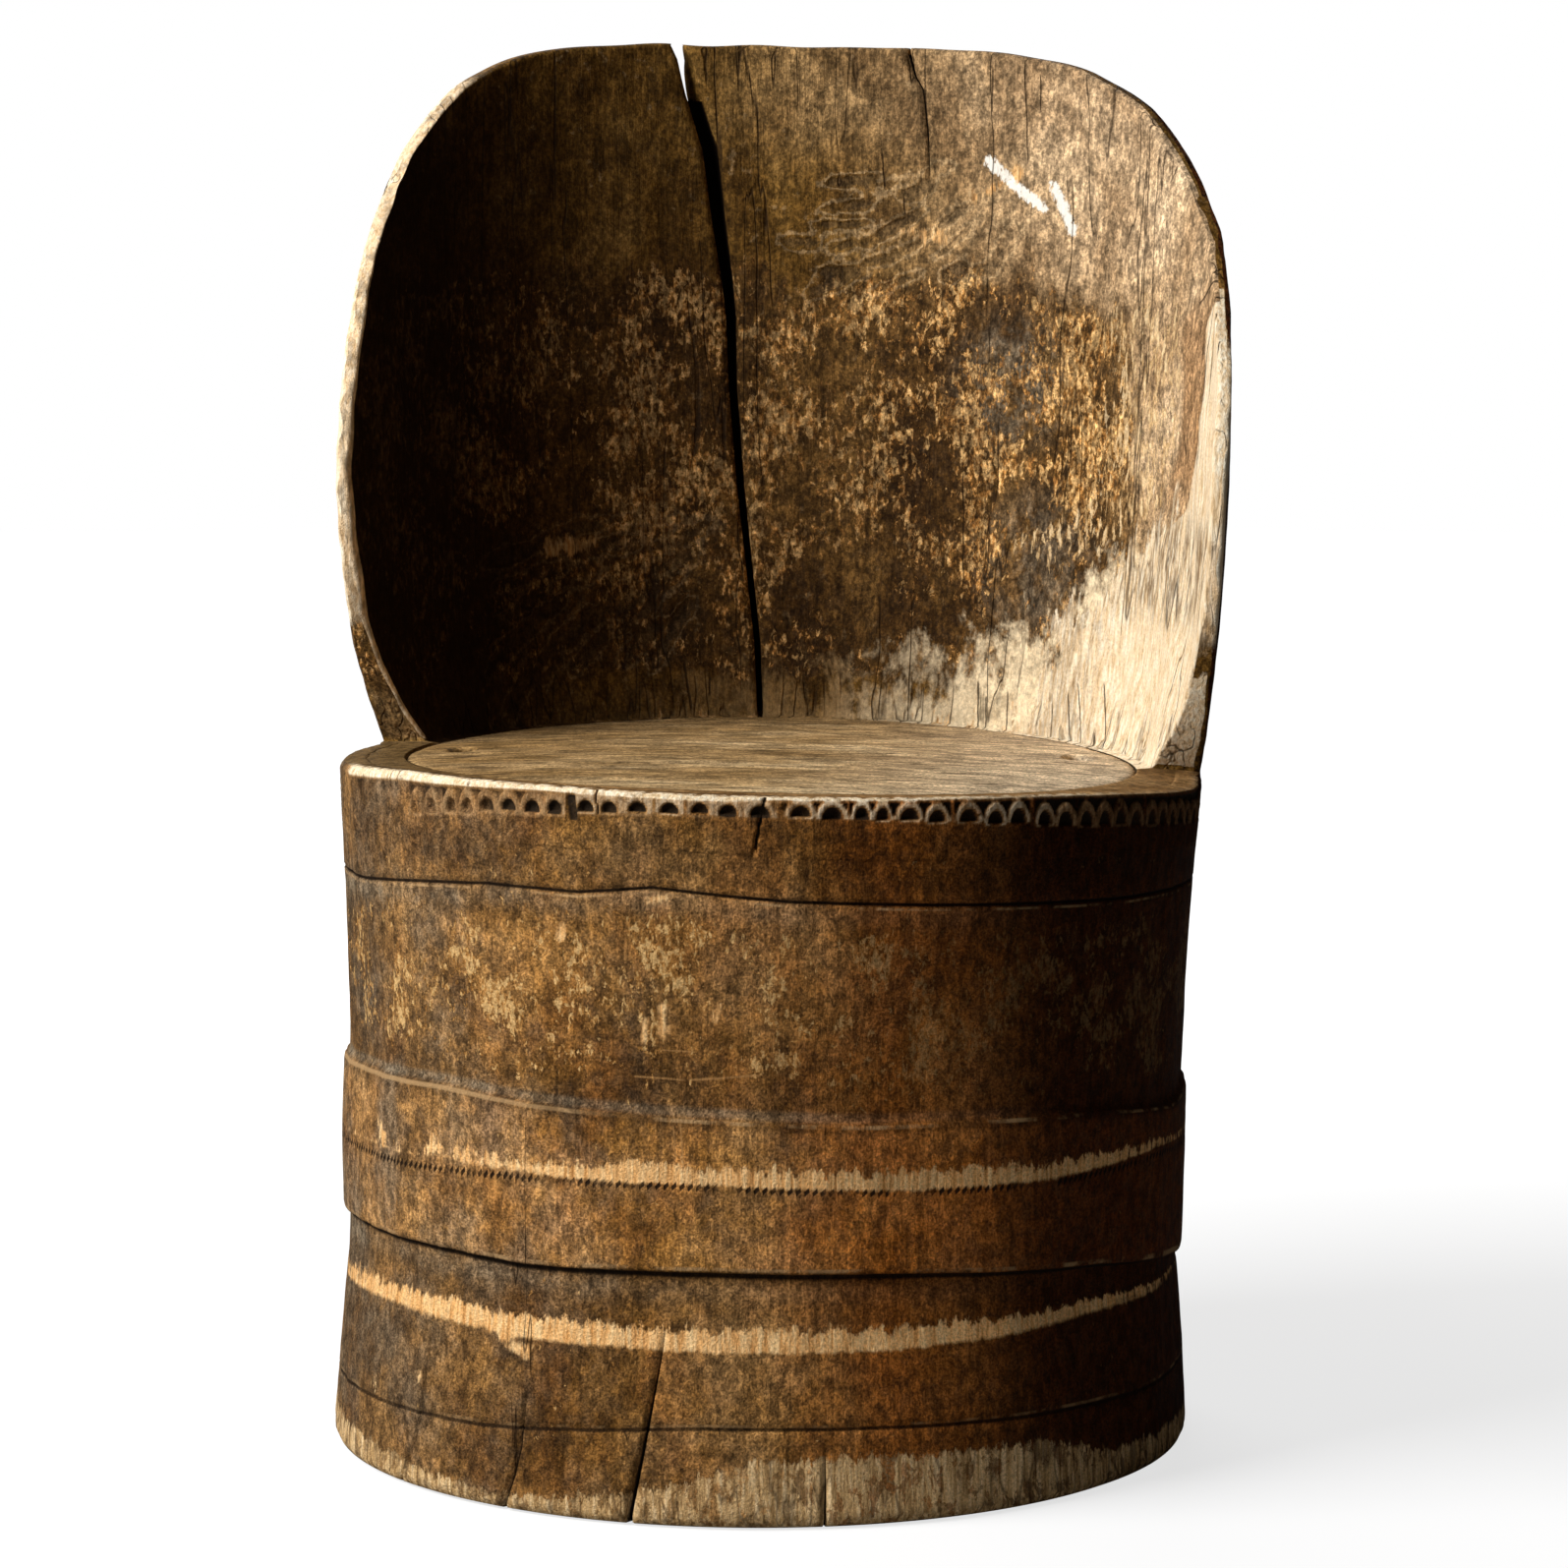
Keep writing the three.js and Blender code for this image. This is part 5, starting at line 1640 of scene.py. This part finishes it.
def rim_wood():
    """The rim's flat top and worn places beside it: dusty end grain, handled smooth."""
    material, finish = new_material("rim_wood")
    shade, _ = finish.use(STAINING, Size=38.0, Stretch=1.0)
    grit = finish.use(GRIT, Size=1.6)
    mottle = finish.noise(7.0, 4.0, 0.7).span(0.32, 0.68)
    checks = finish.use(CHECKS, Size=12.0, Stretch=1.0, Width=0.012, Cover=0.4)
    colour = shade.shades(RIM_TONES)
    colour = colour.mix(finish.part("X").span(-0.04, -0.2, 0.2, 0.85), (0.115, 0.070, 0.026))
    colour = colour.tint(mottle, 0.65, 1.36).tint(grit, 0.68, 1.28)
    fresh = finish.field("fresh") * finish.noise(9.0, 4.0, 0.7).span(0.3, 0.6)
    colour = colour.mix(fresh, grit.shades(CREAM_WOOD))
    # Darkens the rim's top in the band behind the worn arris: painted shade.
    colour = colour.mix(finish.field("dirt_and_shade") * 0.8, (0.035, 0.020, 0.009))
    colour = colour.mix(checks * 0.7, (0.03, 0.018, 0.01))
    height = grit * 0.3 + shade * 0.4 + checks * -0.8
    set_surface(finish, colour, grit.span(0.0, 1.0, 0.6, 0.85), height, 0.0009)
    return material


def carved_wood():
    """The scalloped rim: pale where its ridges are rubbed, black in its cuts with grime and painted shade."""
    material, finish = new_material("carved_wood")
    colour, height, _, grit, streaks = patina(finish, finish.field("level"))
    patch = finish.noise(10.0, 4.0, 0.7)
    fresh = finish.field("fresh")
    rubbed = streaks.shades(TAN_WOOD).mix(fresh.span(0.5, 0.95), streaks.shades(CREAM_WOOD))
    colour = colour.mix(fresh * patch.span(0.26, 0.46), rubbed.tint(grit, 0.8, 1.15))
    # Near black in the cuts: grime and painted shade.
    dirt_and_shade = (finish.field("dirt_and_shade") + patch * 0.4).span(0.42, 1.0)
    colour = colour.mix(dirt_and_shade * 0.93, (0.020, 0.014, 0.009))
    set_surface(finish, colour, grit.span(0.0, 1.0, 0.62, 0.9), height, 0.0011)
    return material


def plain_wood(name, stops, turn, dirt_and_shade, painted_side_light=False):
    """Sawn or hewn wood with its grain along a direction round from +X, or upright where turn is None."""
    material, finish = new_material(name)
    right = finish.part("X")
    up = finish.part("Z")
    if turn is not None:
        laid = finish.add("Mapping", {"Vector": finish.place, "Rotation": (0, 0, -turn)})
        x, y, z = (finish.part(axis, laid) for axis in "XYZ")
        finish.place = finish.add("CombineXYZ", {"X": y, "Y": z, "Z": x})
    streaks = finish.use(FIBRE, Width=2.4, Stretch=11.0)
    shade, _ = finish.use(STAINING, Size=46.0, Stretch=3.0)
    grit = finish.use(GRIT, Size=1.7)
    mottle = finish.noise(6.0, 4.0, 0.7, along=finish.stretched(3.6)).span(0.32, 0.68)
    smears, _ = finish.use(FLECKS, Size=9.0, Stretch=5.0, Cover=dirt_and_shade)
    scuffs, _ = finish.use(FLECKS, Size=7.0, Stretch=6.0, Cover=0.2)
    checks = finish.use(CHECKS, Size=13.0, Stretch=14.0, Width=0.012, Cover=0.5)

    colour = shade.shades(stops)
    if painted_side_light:
        # Darker towards the left and paler towards the right: painted shade where the left wing's shadow falls,
        # and painted light on the right.
        colour = colour.mix(right.span(0.06, -0.18, 0.0, 0.66), (0.225, 0.122, 0.038))
        colour = colour.mix(right.span(0.0, 0.2, 0.0, 0.7), (0.68, 0.54, 0.375))
    colour = colour.tint(mottle, 0.62, 1.4).tint(streaks, 0.72, 1.24).tint(grit, 0.62, 1.38)
    colour = colour.mix(smears * 0.7, (0.07, 0.042, 0.022))
    colour = colour.mix(scuffs * 0.35, (0.52, 0.40, 0.26))
    colour = colour.mix(checks * 0.8, (0.02, 0.012, 0.007))
    if turn is None:
        # Painted shade: near black along the top of the hollow's wall on the right, where the gap between the
        # seat and the rim lies in shade.
        painted_gap_shade = up.span(0.370, 0.378) * right.span(0.12, 0.17)
        colour = colour.mix(painted_gap_shade * 0.92, (0.012, 0.008, 0.005))
    height = streaks * 0.5 + grit * 0.24 + smears * -0.35 + checks * -1.0
    set_surface(finish, colour, shade.span(0.0, 1.0, 0.55, 0.82), height, 0.0008)
    return material


seat_finish = plain_wood("seat_wood", SEAT_TONES, SEAT_TURN, 0.34, painted_side_light=True)
hollow_finish = plain_wood("hollow_wood", HOLLOW_TONES, None, 0.3)
batten_finish = plain_wood("batten_wood", HIDDEN_TONES, SEAT_TURN + math.pi / 2, 0.15)
bottom_finish = plain_wood("bottom_wood", HIDDEN_TONES, 0.0, 0.25)
dowel_finish = plain_wood("dowel_wood", HIDDEN_TONES, math.pi / 2, 0.1)
rim_finish = rim_wood()


def build_log():
    log = hewn_log()
    for finish in (outer_patina(), back_wood(), rim_finish, hollow_finish):
        log.data.materials.append(finish)
    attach(log, "log")
    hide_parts("log_body")
    carving = rim_carving()
    carving.data.materials.append(carved_wood())
    carving.data.materials.append(rim_finish)
    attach(carving, "log")


def build_seat():
    seat = worn_seat()
    seat.data.materials.clear()
    seat.data.materials.append(seat_finish)
    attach(seat, "seat_lid")
    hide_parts("seat_board")


def dress(node, finish):
    for slot in bpy.data.objects[node].material_slots:
        slot.material = finish


def build_hidden_pieces():
    for side in ("left", "right"):
        dress("seat_batten_" + side, batten_finish)
        dress("bottom_dowel_" + side, dowel_finish)
    for place in ("front", "rear"):
        dress("bottom_board_" + place, bottom_finish)


def photo_camera():
    data = bpy.data.cameras.new("photo_camera")
    camera = bpy.data.objects.new("photo_camera", data)
    bpy.context.scene.collection.objects.link(camera)
    data.sensor_width = 36
    data.lens = data.sensor_width * FOCAL_PIXELS / PHOTO_WIDTH
    data.shift_x = (PHOTO_WIDTH / 2 - AXIS_COLUMN_PIXEL) / PHOTO_WIDTH
    camera.location = (
        AXIS_X + CAMERA_DISTANCE * math.sin(CAMERA_AZIMUTH),
        AXIS_Y - CAMERA_DISTANCE * math.cos(CAMERA_AZIMUTH),
        CAMERA_HEIGHT,
    )
    camera.rotation_euler = (math.pi / 2 - CAMERA_PITCH, 0, CAMERA_AZIMUTH)
    bpy.context.scene.camera = camera


# Light: one large soft lamp from the front left, as in the photograph, a weaker one from behind, and a low
# even fill. Turns are from the front, towards +X. The camera sees the floor glow, less so near the chair.
LAMP_TURN = math.radians(-51)
LAMP_RISE = math.radians(35)
LAMP_DISTANCE = 3.0
LAMP_SIZE = 1.7
LAMP_POWER = 150
REAR_LAMP_TURN = math.radians(-160)
REAR_LAMP_POWER = 34
FILL = 0.03
FILL_COLOUR = (1.0, 0.84, 0.66)
FLOOR_RADIUS = 9
FLOOR_LEVEL = -0.4 * MM
FLOOR_GREY = (0.3, 0.3, 0.3)
FLOOR_GLOW = 0.72
FLOOR_GLOW_REACH = (0.35, 1.7)
WHITE = (1, 1, 1)


def soft_lamp(name, turn, power):
    data = bpy.data.lights.new(name, "AREA")
    data.energy = power
    data.size = LAMP_SIZE
    lamp = bpy.data.objects.new(name, data)
    bpy.context.scene.collection.objects.link(lamp)
    aim = Vector((AXIS_X, AXIS_Y, RIM_HEIGHT))
    out = math.cos(LAMP_RISE) * LAMP_DISTANCE
    offset = Vector((math.sin(turn) * out, -math.cos(turn) * out, math.sin(LAMP_RISE) * LAMP_DISTANCE))
    lamp.location = aim + offset
    lamp.rotation_euler = (-offset).to_track_quat("-Z", "Y").to_euler()


def room():
    """A weak, warm light from all sides that the camera sees as white."""
    world = bpy.data.worlds.new("room")
    bpy.context.scene.world = world
    world.use_nodes = True
    finish = Finish(world.node_tree)
    sky = world.node_tree.nodes["Background"].inputs
    seen = finish.add("LightPath", {}, "Is Camera Ray")
    level = finish.add("MapRange", {"Value": seen, "To Min": FILL, "To Max": 1.0})
    connect(world.node_tree, sky["Strength"], level)
    connect(world.node_tree, sky["Color"], finish.mix(seen, FILL_COLOUR, WHITE))


def pale_floor():
    bpy.ops.object.select_all(action="DESELECT")
    bpy.ops.mesh.primitive_circle_add(
        vertices=96, radius=FLOOR_RADIUS, fill_type="NGON", location=(0, 0, FLOOR_LEVEL))
    floor = bpy.context.object
    floor.name = "pale_floor"
    bpy.ops.object.transform_apply(location=True, rotation=True, scale=True)
    material, finish = new_material("floor_paint")
    seen = finish.add("LightPath", {}, "Is Camera Ray")
    away = finish.add("VectorMath", {0: finish.place}, "Value", operation="LENGTH")
    looks = {
        "Base Color": FLOOR_GREY, "Roughness": 0.9, "Specular IOR Level": 0.0, "Emission Color": WHITE,
        "Emission Strength": seen * away.span(*FLOOR_GLOW_REACH, FLOOR_GLOW, 1.0),
    }
    shader = material.node_tree.nodes["Principled BSDF"].inputs
    for name, value in looks.items():
        connect(material.node_tree, shader[name], value)
    floor.data.materials.append(material)


build_log()
build_seat()
build_hidden_pieces()
pale_floor()
room()
soft_lamp("window_light", LAMP_TURN, LAMP_POWER)
soft_lamp("rear_light", REAR_LAMP_TURN, REAR_LAMP_POWER)
photo_camera()
bpy.context.scene.view_settings.view_transform = "Standard"
